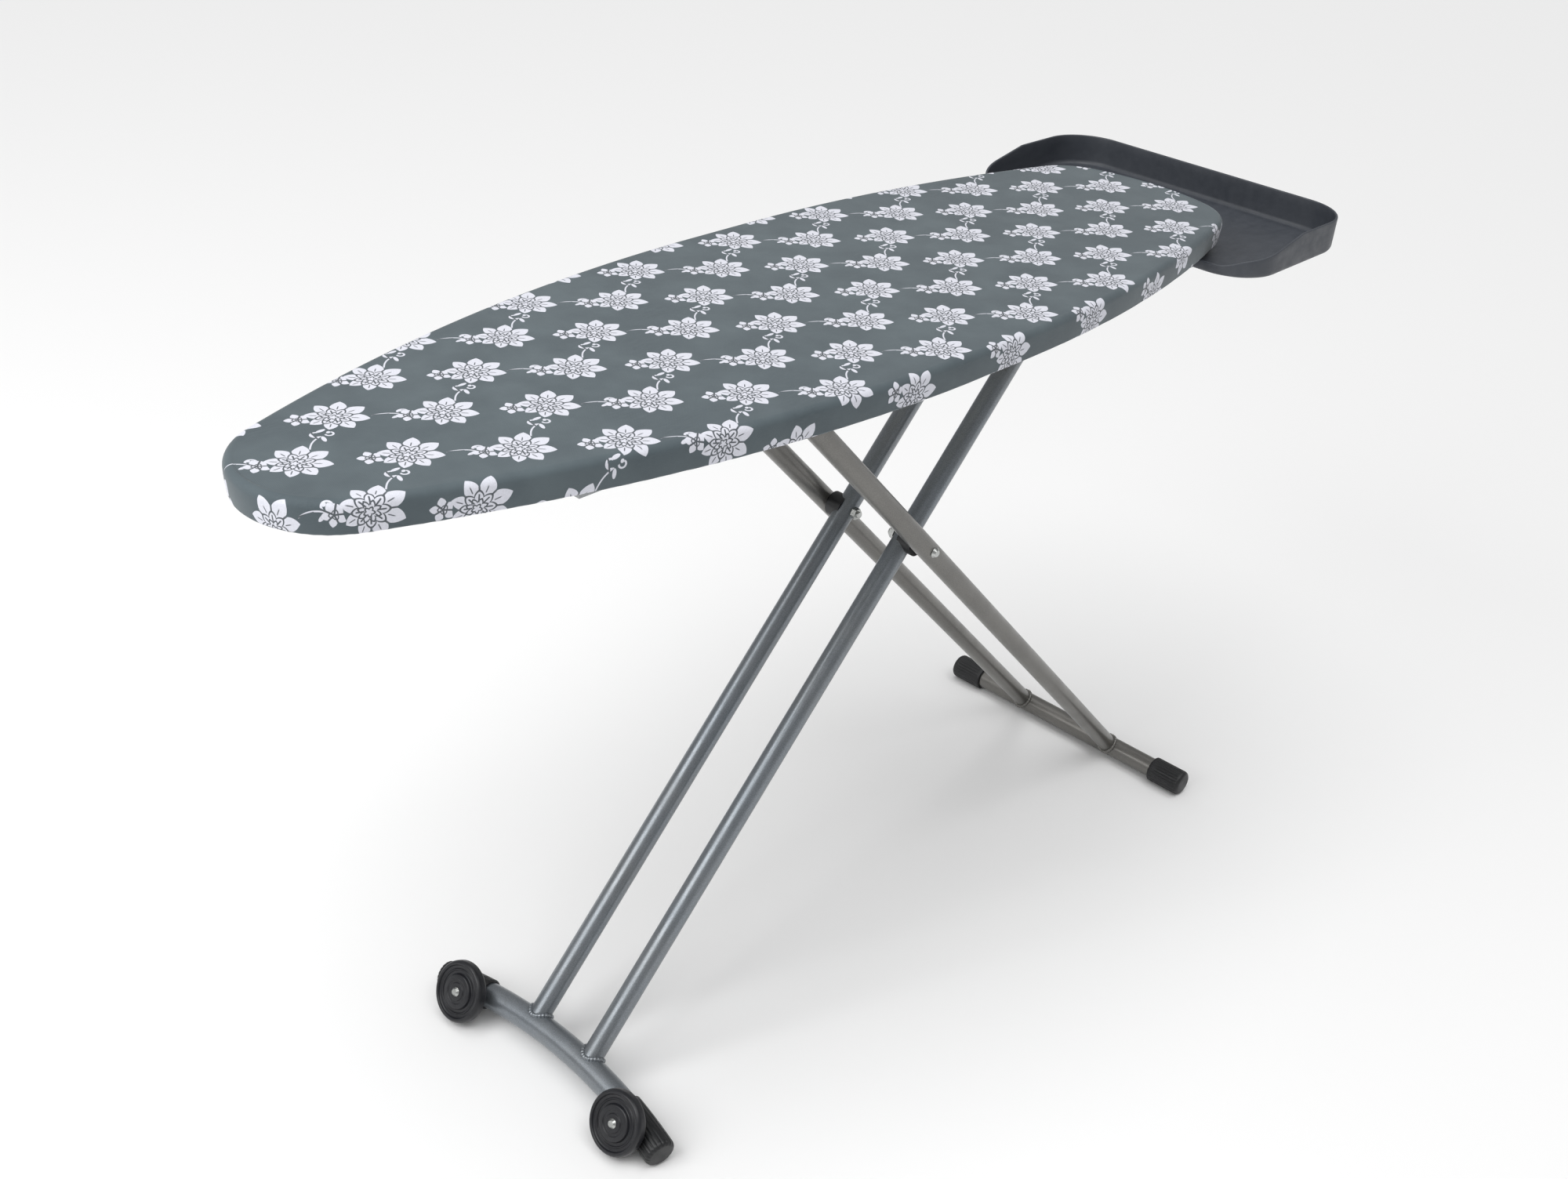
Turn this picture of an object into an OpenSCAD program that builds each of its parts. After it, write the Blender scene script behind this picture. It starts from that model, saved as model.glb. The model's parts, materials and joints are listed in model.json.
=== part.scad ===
// Height-adjustable folding ironing board: padded top, crossed tube legs, castors and iron tray.
// Origin: floor level, under the middle of the whole object. +X runs to the tail, +Z up.
// The "near" side is -Y and the "far" side is +Y.

/* [Board] */
// Length of the padded top
board_l = 1300; // [1100:10:1600]
// Width of the padded top at its widest
board_w = 400; // [330:5:520]
// Height of the ironing surface above the floor
board_h = 855; // [700:5:1050]
// Radius of the rounded nose
nose_r = 89; // [60:1:110]
// Distance from the nose to where the top reaches its full width
widest_from = 680; // [560:10:820]
// Length of the stretch with full width
widest_run = 80; // [20:5:110]
// Width of the tail between its rounded corners
tail_w = 271; // [220:1:300]
// Radius of the tail corners
tail_corner_r = 75; // [60:1:90]
// Radius of the tail end
tail_end_r = 280; // [220:5:340]

/* [Cover and pad] */
// Thickness of the fabric cover
cover_t = 1; // [0.6:0.1:2]
// Height of the cover's side
skirt_h = 31; // [29:1:40]
// Width of the hem that is drawn in under the rim
hem_w = 26; // [24:1:34]
// Width of the flat elastic in the hem
elastic_w = 4; // [3:0.5:5]
// Thickness of the elastic
elastic_t = 1.5; // [1:0.1:2]
// Thickness of the felt pad
pad_t = 6.5; // [3:0.5:12]

/* [Top frame] */
// Thickness of the steel mesh
mesh_t = 0.8; // [0.8:0.1:2]
// Pitch of the holes in the mesh
mesh_pitch = 44; // [30:1:60]
// Size of the holes in the mesh
mesh_hole_d = 16; // [8:1:22]
// Diameter of the rim tube
rim_d = 20; // [16:1:22]
// Wall of the rim tube
rim_wall = 1.2; // [0.8:0.1:2]
// Gap between the cover and the rim tube
rim_gap = 1.5; // [1:0.1:3]
// Height of a cross brace
brace_h = 20; // [18:1:24]
// Width of a cross brace
brace_w = 20; // [14:1:26]
// Wall of a cross brace
brace_wall = 1.2; // [0.8:0.1:2]

/* [Legs] */
// Diameter of the leg tubes
leg_d = 25; // [20:1:30]
// Wall of the leg tubes
leg_wall = 1.2; // [0.8:0.1:2]
// Angle of the wheel legs to the floor
leg_angle = 47.2; // [42:0.1:52]
// Angle of the foot legs' tubes to the floor
foot_leg_angle = 45; // [41:0.1:50]
// Spacing of the wheel legs
wheel_legs_gap = 90; // [80:1:100]
// Spacing of the foot legs
foot_legs_gap = 155; // [150:1:190]
// Distance from the pivot to the hinge, and from the pivot to the slide rod
upper_l = 375; // [330:1:420]
// Distance from the tail to the leg hinge
hinge_from_tail = 241.5; // [200:0.5:300]
// Least angle of the wheel legs, folded
folded_angle = 4; // [4:0.5:12]
// Greatest angle of the wheel legs, raised
raised_angle = 50.2; // [48:0.1:52]

/* [Foot bar] */
// Diameter of the foot bar
foot_bar_d = 28; // [25:1:32]
// Length of the foot bar with its caps
foot_bar_l = 414; // [340:2:500]
// Diameter of the foot caps
foot_cap_d = 36; // [34:1:44]
// Length of a foot cap
foot_cap_l = 52; // [36:1:64]

/* [Wheel bar] */
// Diameter of the bowed wheel bar
wheel_bar_d = 30; // [26:1:32]
// Length of the wheel bar between the ends of its sleeves
wheel_bar_l = 374; // [320:2:450]
// Height of the bow in the wheel bar
bow_h = 24; // [12:1:36]
// Angle of the bow's plane to the floor
bow_angle = 35; // [20:1:50]
// Diameter of the end sleeves
sleeve_d = 36; // [35:1:42]
// Length of an end sleeve
sleeve_l = 69; // [60:1:80]
// Wheel diameter
wheel_d = 72; // [60:1:74]
// Wheel thickness
wheel_t = 16; // [12:1:18]
// Distance between the two wheels
wheel_gap = 270; // [264:1:290]
// Tilt of the wheel axles
axle_angle = 28; // [26:1:36]
// Diameter of the axle screws
axle_d = 6; // [5:0.5:8]

/* [Pivot, hinge and slide] */
// Diameter of the pivot bolts
bolt_d = 8; // [6:0.5:10]
// Diameter of the spacers at the pivot
spacer_d = 30; // [28:1:34]
// Diameter of the hinge rod
hinge_d = 10; // [8:0.5:12]
// Diameter of the tube that turns on the hinge rod
knuckle_d = 20; // [16:1:22]
// Diameter of the slide rod
slide_rod_d = 12; // [10:1:14]
// Diameter of the slide shoes
shoe_d = 17; // [16:0.5:18]
// Height of the slide rails
rail_h = 22; // [21.5:0.5:24]
// Pitch of the height notches
notch_pitch = 45; // [30:1:60]
// Number of height notches
notch_count = 6; // [3:1:6]

/* [Release lever] */
// Travel of the release lever in degrees
lever_travel = 5; // [3:0.5:5]
// Width of the lever arm
lever_w = 14; // [10:1:16]
// Length of the lever grip
grip_l = 44; // [36:1:50]
// Width of the lever grip
grip_w = 34; // [24:1:40]

/* [Iron tray] */
// Reach of the tray beyond the tail
tray_out = 130; // [80:5:180]
// Length of the tray
tray_l = 245; // [235:5:280]
// Width of the tray
tray_w = 420; // [360:5:460]
// Radius of the tray corners
tray_r = 62; // [40:1:70]
// Height of the tray wall at its end
tray_wall_h = 42; // [30:1:60]
// Thickness of the tray
tray_t = 3; // [2:0.5:4]
// Drop from the underside of the top frame to the tray arms
tray_drop = 18; // [17:1:26]

/* [Hidden] */
fit = 0.05;
clear = 0.3;
round_fn = 48;
arc_fn = 360;
weld_bite = 2;

nose_x = -(board_l + tray_out) / 2;
half_w = board_w / 2;
tail_x = nose_x + board_l;

mesh_bottom = board_h - cover_t - pad_t - mesh_t;
brace_bottom = mesh_bottom - brace_h;
slide_z = brace_bottom - rail_h / 2;
rim_z = mesh_bottom - rim_d / 2;
skirt_bottom = board_h - skirt_h;

// Outline arcs, in distances from the nose: nose arc, front side arc, back side arc, tail corner.
widest_to = widest_from + widest_run;
corner_y = tail_w / 2 - tail_corner_r;
end_c = board_l - tail_end_r;
corner_x = end_c + sqrt(pow(tail_end_r - tail_corner_r, 2) - pow(corner_y, 2));
front_r = (pow(widest_from - nose_r, 2) + half_w * half_w - nose_r * nose_r) / (2 * (half_w - nose_r));
back_r = (pow(corner_x - widest_to, 2) + pow(half_w - corner_y, 2) - pow(tail_corner_r, 2))
    / (2 * (half_w - corner_y - tail_corner_r));
// Directions, from +X, in which one arc hands over to the next.
nose_turn = 90 + asin((widest_from - nose_r) / (front_r - nose_r));
back_turn = 90 - asin((corner_x - widest_to) / (back_r - tail_corner_r));
end_turn = asin(corner_y / (tail_end_r - tail_corner_r));

// Leg geometry at the working height shown by leg_angle.
hinge_x = tail_x - hinge_from_tail;
pivot_x = hinge_x - upper_l * cos(leg_angle);
pivot_z = slide_z - upper_l * sin(leg_angle);
slide_x = pivot_x - upper_l * cos(leg_angle);
foot_z = foot_cap_d / 2;
foot_leg_l = (pivot_z - foot_z) / sin(foot_leg_angle);
foot_x = pivot_x + foot_leg_l * cos(foot_leg_angle);
wheel_leg_y = wheel_legs_gap / 2;
foot_leg_y = foot_legs_gap / 2;
leg_r = leg_d / 2;
leg_bore_r = leg_r - leg_wall;

// Bowed wheel bar.
bar_end_y = wheel_bar_l / 2;
bow_r = (bar_end_y * bar_end_y + bow_h * bow_h) / (2 * bow_h);
bar_end_z = sleeve_d / 2;
bar_r = wheel_bar_d / 2;
bar_wall = 1.5;
sleeve_r = sleeve_d / 2;
sleeve_end_t = 4;
joint_bow = sqrt(bow_r * bow_r - wheel_leg_y * wheel_leg_y) - (bow_r - bow_h);
joint_z = bar_end_z + joint_bow * sin(bow_angle);
wheel_leg_l = (pivot_z - joint_z) / sin(leg_angle);
joint_x = pivot_x - wheel_leg_l * cos(leg_angle);
bar_end_x = joint_x - joint_bow * cos(bow_angle);
wheel_y = wheel_gap / 2;
wheel_bow = sqrt(bow_r * bow_r - wheel_y * wheel_y) - (bow_r - bow_h);
boss_r = 11;
wheel_edge_y = min(wheel_y + wheel_d / 2, bar_end_y);
wheel_edge_bow = sqrt(bow_r * bow_r - wheel_edge_y * wheel_edge_y) - (bow_r - bow_h);
bow_to_wheel = max(0, (wheel_bow - wheel_edge_bow) * cos(axle_angle + bow_angle));
boss_past = 1;
boss_h = bow_to_wheel + boss_past;
wheel_from_bar = sleeve_r + boss_h + clear;
wheel_hub_x = bar_end_x + wheel_bow * cos(bow_angle);
wheel_hub_z = bar_end_z + wheel_bow * sin(bow_angle);
axle_r = axle_d / 2;
axle_head_r = 5.5;
axle_head_h = 2.6;

// Slide rails, rack and hinge.
rail_wall = 2;
rail_gap = 5;
rail_y = foot_leg_y + leg_r + rail_gap;
shoe_y = rail_y + 2;
shoe_l = 13;
rail_w = 19;
slide_folded_x = hinge_x - 2 * upper_l * cos(folded_angle);
slide_raised_x = hinge_x - 2 * upper_l * cos(raised_angle);
rail_end_gap = 44;
rack_t = 3;
rack_y = 20;
rack_gap = 1;
rack_h = 20;
notch_play = 0.5;
rack_bottom = slide_z + slide_rod_d / 2 + rack_gap;
bracket_t = 4;
bracket_y = wheel_leg_y + leg_r + 2.5;
bracket_r = 14;
hinge_brace_x = hinge_x + bracket_r + brace_w / 2;

// Cross braces, front to back.
brace_front_x = slide_folded_x - shoe_d / 2 - rail_end_gap - brace_w / 2;
brace_mid_x = slide_raised_x + shoe_d / 2 + rail_end_gap - brace_w / 2;
brace_nose_x = nose_x + 1.25 * nose_r;
brace_waist_x = (brace_mid_x + hinge_brace_x) / 2;
brace_tail_gap = 128;
brace_end_x = tail_x - brace_tail_gap;
rail_x0 = brace_front_x;
rail_x1 = brace_mid_x;

// Iron tray.
tray_x1 = tail_x + tray_out;
tray_x0 = tray_x1 - tray_l;
tray_bottom = brace_bottom - tray_drop;
arm_w = 16;
arm_h = 12;
arm_wall = 1.2;
arm_hem_gap = 1.5;
arm_y = side_y(brace_end_x + brace_w / 2 - nose_x, -hem_w - elastic_w) - arm_hem_gap - arm_w / 2;
arm_x0 = hinge_brace_x - brace_w / 2;
arm_end_gap = 20;
arm_x1 = tray_x1 - arm_end_gap;
tray_clear = 2;
tray_lip = 8;
tray_ramp = 17;
screw_r = 2;
screw_head_r = 4.5;
screw_head_h = 2;
screw_past = 2;
screw_inset = 45;

// Release lever, beside the middle brace.
ear_t = 3;
ear_gap = 5;
lever_x = brace_mid_x - brace_w / 2 - ear_t - ear_gap - lever_w / 2;
lever_y = 72;
lever_z = brace_bottom + 8;
lever_t = 4;
lever_pin_r = 2.5;
lever_eye_r = 6;
lever_bend_y = 140;
lever_drop = 22;
lever_low_z = skirt_bottom - lever_drop;
release_y = 24;
release_w = 6;
release_end_gap = 10;
release_z = rack_bottom + (lever_y - release_y) * sin(lever_travel);
grip_t = 12;
grip_inset = 6;
grip_y1 = half_w - grip_inset;
grip_floor = 5;
grip_edge = 1.5;

// ---- Shared shapes ----

// Points of one arc, from angle a0 to a1 in n steps.
function arc_points(c, r, a0, a1, n) =
    [for (i = [0 : n]) let (a = a0 + (a1 - a0) * i / n) [c[0] + r * cos(a), c[1] + r * sin(a)]];

// Far half of the outline from the nose to the tail, grown by d.
function half_outline(d) = concat(
    arc_points([nose_r, 0], nose_r + d, 180, nose_turn, 12),
    arc_points([widest_from, half_w - front_r], front_r + d, nose_turn, 90, 16),
    arc_points([widest_to, half_w - back_r], back_r + d, 90, back_turn, 14),
    arc_points([corner_x, corner_y], tail_corner_r + d, back_turn, end_turn, 10),
    arc_points([end_c, 0], tail_end_r + d, end_turn, 0, 5)
);

// Half width of the outline at distance x from the nose, grown by d; for the stretches along the sides.
function side_y(x, d) =
    x < widest_from ? half_w - front_r + sqrt(pow(front_r + d, 2) - pow(widest_from - x, 2))
    : x < widest_to ? half_w + d
    : half_w - back_r + sqrt(pow(back_r + d, 2) - pow(x - widest_to, 2));

module outline(d) {
    far = half_outline(d);
    near = [for (i = [len(far) - 2 : -1 : 1]) [far[i][0], -far[i][1]]];
    polygon(concat(far, near));
}

module plate(d, z0, z1) {
    translate([nose_x, 0, z0])
        linear_extrude(z1 - z0)
            outline(d);
}

module ring(r, wall) {
    difference() {
        circle(r, $fn = round_fn);
        if (wall > 0)
            circle(r - wall, $fn = round_fn);
    }
}

// Round bar or tube bent along one arc of the outline, between two directions.
module bent(c, arc_r, a0, a1, r, wall, z) {
    translate([nose_x + c[0], c[1], z])
        rotate([0, 0, min(a0, a1)])
            rotate_extrude(angle = abs(a1 - a0), $fn = arc_fn)
                translate([arc_r, 0])
                    ring(r, wall);
}

module rim_nose_part(d, r, wall, z) {
    bent([nose_r, 0], nose_r + d, 360 - nose_turn, nose_turn, r, wall, z);
}

module rim_side_part(d, r, wall, z) {
    bent([widest_from, half_w - front_r], front_r + d, nose_turn, 90, r, wall, z);
    translate([nose_x + widest_from, half_w + d, z])
        rotate([0, 90, 0])
            linear_extrude(widest_run)
                ring(r, wall);
    bent([widest_to, half_w - back_r], back_r + d, 90, back_turn, r, wall, z);
}

module rim_tail_part(d, r, wall, z) {
    bent([corner_x, corner_y], tail_corner_r + d, end_turn, back_turn, r, wall, z);
    bent([end_c, 0], tail_end_r + d, -end_turn, end_turn, r, wall, z);
    bent([corner_x, -corner_y], tail_corner_r + d, -back_turn, -end_turn, r, wall, z);
}

// Bar of radius r, length l, from a point at an angle above +X.
module slanted(p, angle, l, r) {
    translate(p)
        rotate([0, 90 - angle, 0])
            cylinder(h = l, r = r, $fn = round_fn);
}

module across(x, z, y0, y1, r) {
    translate([x, y0, z])
        rotate([-90, 0, 0])
            cylinder(h = y1 - y0, r = r, $fn = round_fn);
}

module mirrored(far) {
    if (far)
        children();
    else
        mirror([0, 1, 0])
            children();
}

// ---- Cover, pad and mesh ----

module cover() {
    color("slategray")
        difference() {
            plate(0, skirt_bottom, board_h);
            plate(-cover_t, skirt_bottom + cover_t, board_h - cover_t);
            plate(-hem_w, skirt_bottom - 1, skirt_bottom + cover_t + 1);
        }
}

// Flat elastic along the hem's inner edge, which passes under the braces.
module hem_elastic() {
    z = min(skirt_bottom, brace_bottom - clear - elastic_t);
    color("dimgray")
        difference() {
            plate(-hem_w, z, z + elastic_t);
            plate(-hem_w - elastic_w, z - 1, z + elastic_t + 1);
        }
}

module pad() {
    color("whitesmoke")
        plate(-cover_t - fit, mesh_bottom + mesh_t, board_h - cover_t);
}

module top_mesh() {
    inset = cover_t + rim_gap + rim_d / 2;
    margin = inset + mesh_hole_d;
    rows = floor(half_w / mesh_pitch);
    columns = floor((board_l - 2 * nose_r) / mesh_pitch);
    color("gainsboro")
        difference() {
            plate(-inset, mesh_bottom, mesh_bottom + mesh_t);
            for (i = [0 : columns], j = [-rows : rows])
                let (x = nose_r + (i + (abs(j) % 2) / 2) * mesh_pitch, y = j * mesh_pitch)
                    if (x < corner_x && abs(y) < side_y(x, -margin))
                        translate([nose_x + x, y, mesh_bottom - 1])
                            cylinder(h = mesh_t + 2, d = mesh_hole_d, $fn = 6);
        }
}

// ---- Top frame ----

rim_inset = -cover_t - rim_gap - rim_d / 2;

module rim_nose() {
    color("silver")
        rim_nose_part(rim_inset, rim_d / 2, rim_wall, rim_z);
}

module rim_side(far) {
    color("silver")
        mirrored(far)
            rim_side_part(rim_inset, rim_d / 2, rim_wall, rim_z);
}

module rim_tail() {
    color("silver")
        rim_tail_part(rim_inset, rim_d / 2, rim_wall, rim_z);
}

// Half the length of a cross brace at x, which is welded into both sides of the rim.
function brace_reach(x) = side_y(x - nose_x, rim_inset) - rim_d / 2 + weld_bite;

module brace(x) {
    reach = brace_reach(x);
    color("silver")
        difference() {
            translate([x - brace_w / 2, -reach, brace_bottom])
                cube([brace_w, 2 * reach, brace_h]);
            translate([x - brace_w / 2 + brace_wall, -reach - 1, brace_bottom + brace_wall])
                cube([brace_w - 2 * brace_wall, 2 * reach + 2, brace_h - 2 * brace_wall]);
        }
}

// Cross brace with two legs that carry the tray arms.
module tray_brace(x) {
    brace(x);
    color("silver")
        for (side = [-1, 1])
            translate([x - brace_w / 2, side * arm_y - arm_w / 2, brace_bottom - tray_drop])
                cube([brace_w, arm_w, tray_drop]);
}

// C-shaped rail that guides the slide shoe; its open side faces the middle of the board.
module slide_rail(far) {
    length = rail_x1 - rail_x0;
    color("silver")
        mirrored(far)
            translate([rail_x0, rail_y, slide_z - rail_h / 2])
                difference() {
                    cube([length, rail_w, rail_h]);
                    translate([rail_wall, -1, rail_wall])
                        cube([length - 2 * rail_wall, rail_w - rail_wall + 1, rail_h - 2 * rail_wall]);
                }
}

// Strip on edge with round height notches along its lower edge.
module height_rack(far) {
    x0 = brace_front_x + brace_w / 2;
    x1 = brace_mid_x - brace_w / 2;
    color("lightgray")
        mirrored(far)
            translate([0, rack_y - rack_t / 2, 0])
                difference() {
                    translate([x0, 0, rack_bottom])
                        cube([x1 - x0, rack_t, rack_h]);
                    for (i = [0 : notch_count - 1])
                        across(slide_x - i * notch_pitch, rack_bottom, -1, rack_t + 1,
                            slide_rod_d / 2 + notch_play);
                }
}

// Plate that hangs from the hinge brace and holds one end of the hinge rod.
module hinge_bracket(far) {
    color("silver")
        mirrored(far)
            difference() {
                union() {
                    across(hinge_x, slide_z, bracket_y, bracket_y + bracket_t, bracket_r);
                    translate([hinge_x, bracket_y, slide_z - bracket_r])
                        cube([bracket_r + brace_w, bracket_t, brace_bottom - slide_z + bracket_r]);
                }
                across(hinge_x, slide_z, bracket_y - 1, bracket_y + bracket_t + 1, hinge_d / 2 + fit);
            }
}

module hinge_rod() {
    head_y = bracket_y + bracket_t + fit;
    head_h = 3;
    head_rim = 2;
    color("lightgray") {
        across(hinge_x, slide_z, -head_y, head_y, hinge_d / 2);
        for (far = [false, true])
            mirrored(far)
                across(hinge_x, slide_z, head_y, head_y + head_h, hinge_d / 2 + head_rim);
    }
}

// ---- Release lever ----

module along_x(x, y, z, l, r) {
    translate([x, y, z])
        rotate([0, 90, 0])
            cylinder(h = l, r = r, $fn = round_fn);
}

module lever_bracket() {
    outer_l = lever_w + 2 * ear_gap + 2 * ear_t;
    x0 = lever_x - outer_l / 2;
    ear_w = 2 * lever_eye_r;
    color("silver")
        difference() {
            translate([x0, lever_y - ear_w / 2, lever_z - lever_eye_r])
                cube([outer_l, ear_w, mesh_bottom - lever_z + lever_eye_r]);
            translate([x0 + ear_t, lever_y - ear_w / 2 - 1, lever_z - lever_eye_r - 1])
                cube([outer_l - 2 * ear_t, ear_w + 2, mesh_bottom - lever_z + lever_eye_r + 1 - ear_t]);
            along_x(x0 - 1, lever_y, lever_z, outer_l + 2, lever_pin_r + fit);
        }
}

module lever_pin() {
    ears_l = lever_w + 2 * ear_gap + 2 * ear_t;
    pin_past = 1;
    color("lightgray")
        along_x(lever_x - ears_l / 2 - pin_past, lever_y, lever_z, ears_l + pin_past, lever_pin_r);
}

// Torsion spring round the pin, between one ear and the lever eye.
module lever_spring() {
    wire_r = 0.5;
    turns = 4;
    coil_r = lever_pin_r + 1.3;
    x0 = lever_x - lever_w / 2 - ear_gap;
    color("dimgray")
        for (i = [0 : turns - 1])
            translate([x0 + (i + 0.75) * 2 * wire_r, lever_y, lever_z])
                rotate([0, 90, 0])
                    rotate_extrude($fn = round_fn)
                        translate([coil_r, 0])
                            circle(wire_r + fit, $fn = 16);
}

module lever_arm() {
    x0 = lever_x - lever_w / 2;
    release_x0 = brace_front_x + brace_w / 2 + release_end_gap;
    foot_y1 = grip_y1 - grip_floor - 1;
    color("gray")
        difference() {
            union() {
                translate([x0, release_y, lever_z - lever_t / 2])
                    cube([lever_w, lever_bend_y - release_y, lever_t]);
                translate([x0, lever_bend_y - lever_t, lever_low_z])
                    cube([lever_w, lever_t, lever_z + lever_t / 2 - lever_low_z]);
                translate([x0, lever_bend_y - lever_t, lever_low_z])
                    cube([lever_w, foot_y1 - lever_bend_y + lever_t, lever_t]);
                translate([release_x0, release_y, release_z])
                    cube([lever_x + lever_w / 2 - release_x0, release_w, lever_z + lever_t / 2 - release_z]);
                along_x(x0, lever_y, lever_z, lever_w, lever_eye_r);
            }
            along_x(x0 - 1, lever_y, lever_z, lever_w + 2, lever_pin_r + fit);
        }
}

module lever_grip() {
    x0 = lever_x - grip_w / 2;
    y0 = grip_y1 - grip_l;
    z0 = lever_low_z + lever_t / 2 - grip_t / 2;
    color("black")
        difference() {
            intersection() {
                translate([x0, y0, z0])
                    cube([grip_w, grip_l, grip_t]);
                translate([lever_x, y0 - 1, z0 + grip_t / 2])
                    rotate([-90, 0, 0])
                        cylinder(h = grip_l + 2, r = grip_w / 2 + grip_edge, $fn = round_fn);
            }
            translate([lever_x - lever_w / 2 - fit, y0 - 1, lever_low_z - fit])
                cube([lever_w + 2 * fit, grip_l - grip_floor + fit, lever_t + 2 * fit]);
        }
}

// ---- Iron tray ----

module rounded_rect(x0, x1, w, r) {
    translate([x0 + r, -w / 2])
        square([x1 - x0 - 2 * r, w]);
    translate([x0, -w / 2 + r])
        square([x1 - x0, w - 2 * r]);
    for (x = [x0 + r, x1 - r], y = [-w / 2 + r, w / 2 - r])
        translate([x, y])
            circle(r, $fn = 96);
}

// Side view of the tray: low under the tail, then rising to the full wall.
module tray_profile() {
    low = skirt_bottom - tray_clear - tray_bottom;
    rise_x = tray_x0 + tray_ramp;
    polygon([
        [tray_x0 - 1, -1], [tray_x1 + 1, -1], [tray_x1 + 1, tray_wall_h], [tail_x, tray_wall_h],
        [rise_x, low + tray_lip], [tray_x0 + tray_t, low], [tray_x0 - 1, low]
    ]);
}

module iron_tray() {
    color("dimgray")
        difference() {
            intersection() {
                translate([0, 0, tray_bottom])
                    linear_extrude(tray_wall_h)
                        rounded_rect(tray_x0, tray_x1, tray_w, tray_r);
                translate([0, tray_w / 2 + 1, tray_bottom])
                    rotate([90, 0, 0])
                        linear_extrude(tray_w + 2)
                            tray_profile();
            }
            translate([0, 0, tray_bottom + tray_t])
                linear_extrude(tray_wall_h)
                    rounded_rect(tray_x0 + tray_t, tray_x1 - tray_t, tray_w - 2 * tray_t, tray_r - tray_t);
            at_tray_screws(tray_bottom - 1)
                cylinder(h = tray_t + 2, r = screw_r + fit, $fn = round_fn);
            at_tray_screws(tray_bottom + tray_t - screw_head_h)
                cylinder(h = screw_head_h, r1 = screw_r + fit, r2 = screw_head_r + fit, $fn = round_fn);
        }
}

module at_tray_screws(z) {
    for (x = [tray_x0 + screw_inset, tray_x1 - screw_inset], side = [-1, 1])
        translate([x, side * arm_y, z])
            children();
}

module tray_arm(side) {
    color("silver")
        difference() {
            translate([arm_x0, side * arm_y - arm_w / 2, tray_bottom - arm_h])
                cube([arm_x1 - arm_x0, arm_w, arm_h]);
            translate([arm_x0, side * arm_y - arm_w / 2, tray_bottom - arm_h] + arm_wall * [1, 1, 1])
                cube([arm_x1 - arm_x0, arm_w, arm_h] - 2 * arm_wall * [1, 1, 1]);
            at_tray_screws(tray_bottom - arm_wall - 1)
                cylinder(h = arm_wall + 2, r = screw_r + fit, $fn = round_fn);
        }
}

module tray_screws() {
    shank_l = screw_past + arm_wall + tray_t - screw_head_h;
    color("lightgray")
        at_tray_screws(tray_bottom - arm_wall - screw_past) {
            cylinder(h = shank_l, r = screw_r, $fn = round_fn);
            translate([0, 0, shank_l])
                cylinder(h = screw_head_h - fit, r1 = screw_r, r2 = screw_head_r, $fn = round_fn);
        }
}

// ---- Wheel legs ----

// Places children in the plane of the bowed bar, with the bow's centre at the origin.
module in_bow_plane() {
    translate([bar_end_x, 0, bar_end_z])
        rotate([0, -bow_angle, 0])
            translate([bow_h - bow_r, 0, 0])
                children();
}

// Round bar or tube along the bow, between two distances from the middle of the bar.
module bow_tube(y0, y1, r, wall) {
    a0 = asin(y0 / bow_r);
    a1 = asin(y1 / bow_r);
    in_bow_plane()
        rotate([0, 0, a0])
            rotate_extrude(angle = a1 - a0, $fn = arc_fn)
                translate([bow_r, 0])
                    ring(r, wall);
}

module wheel_bar() {
    color("slategray")
        bow_tube(-bar_end_y + sleeve_end_t, bar_end_y - sleeve_end_t, bar_r, bar_wall);
}

module wheel_leg(far) {
    bottom = [joint_x, wheel_leg_y, joint_z];
    length = wheel_leg_l + upper_l;
    color("slategray")
        difference() {
            mirrored(far)
                difference() {
                    slanted(bottom, leg_angle, length, leg_r);
                    translate([-cos(leg_angle), 0, -sin(leg_angle)])
                        slanted(bottom, leg_angle, length + 2, leg_bore_r);
                    across(hinge_x, slide_z, wheel_leg_y - leg_d, wheel_leg_y + leg_d, knuckle_d / 2);
                    across(pivot_x, pivot_z, wheel_leg_y - leg_d, wheel_leg_y + leg_d, bolt_d / 2 + fit);
                }
            bow_tube(-bar_end_y / 2, bar_end_y / 2, bar_r, 0);
        }
}

module hinge_knuckle() {
    reach = bracket_y - 1;
    color("slategray")
        difference() {
            across(hinge_x, slide_z, -reach, reach, knuckle_d / 2);
            across(hinge_x, slide_z, -reach - 1, reach + 1, hinge_d / 2 + fit);
        }
}

// Places children at a wheel's hub on the bar's axis, with +Z along the axle.
module at_axle(far) {
    mirrored(far)
        translate([wheel_hub_x, wheel_y, wheel_hub_z])
            rotate([0, axle_angle - 90, 0])
                children();
}

module sleeve(far) {
    color("black")
        difference() {
            union() {
                mirrored(far)
                    bow_tube(bar_end_y - sleeve_l, bar_end_y, sleeve_r, 0);
                at_axle(far)
                    cylinder(h = sleeve_r + boss_h, r = boss_r, $fn = round_fn);
            }
            mirrored(far)
                bow_tube(bar_end_y - sleeve_l - 4, bar_end_y - sleeve_end_t, bar_r + fit, 0);
            at_axle(far)
                cylinder(h = sleeve_r + boss_h + 1, r = axle_r + fit, $fn = round_fn);
        }
}

module axle(far) {
    start = bar_r + 2 * fit;
    head = wheel_from_bar + wheel_t + clear;
    color("lightgray")
        at_axle(far) {
            translate([0, 0, start])
                cylinder(h = head - start, r = axle_r, $fn = round_fn);
            translate([0, 0, head])
                cylinder(h = axle_head_h, r1 = axle_head_r, r2 = axle_head_r - 2, $fn = round_fn);
        }
}

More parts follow.
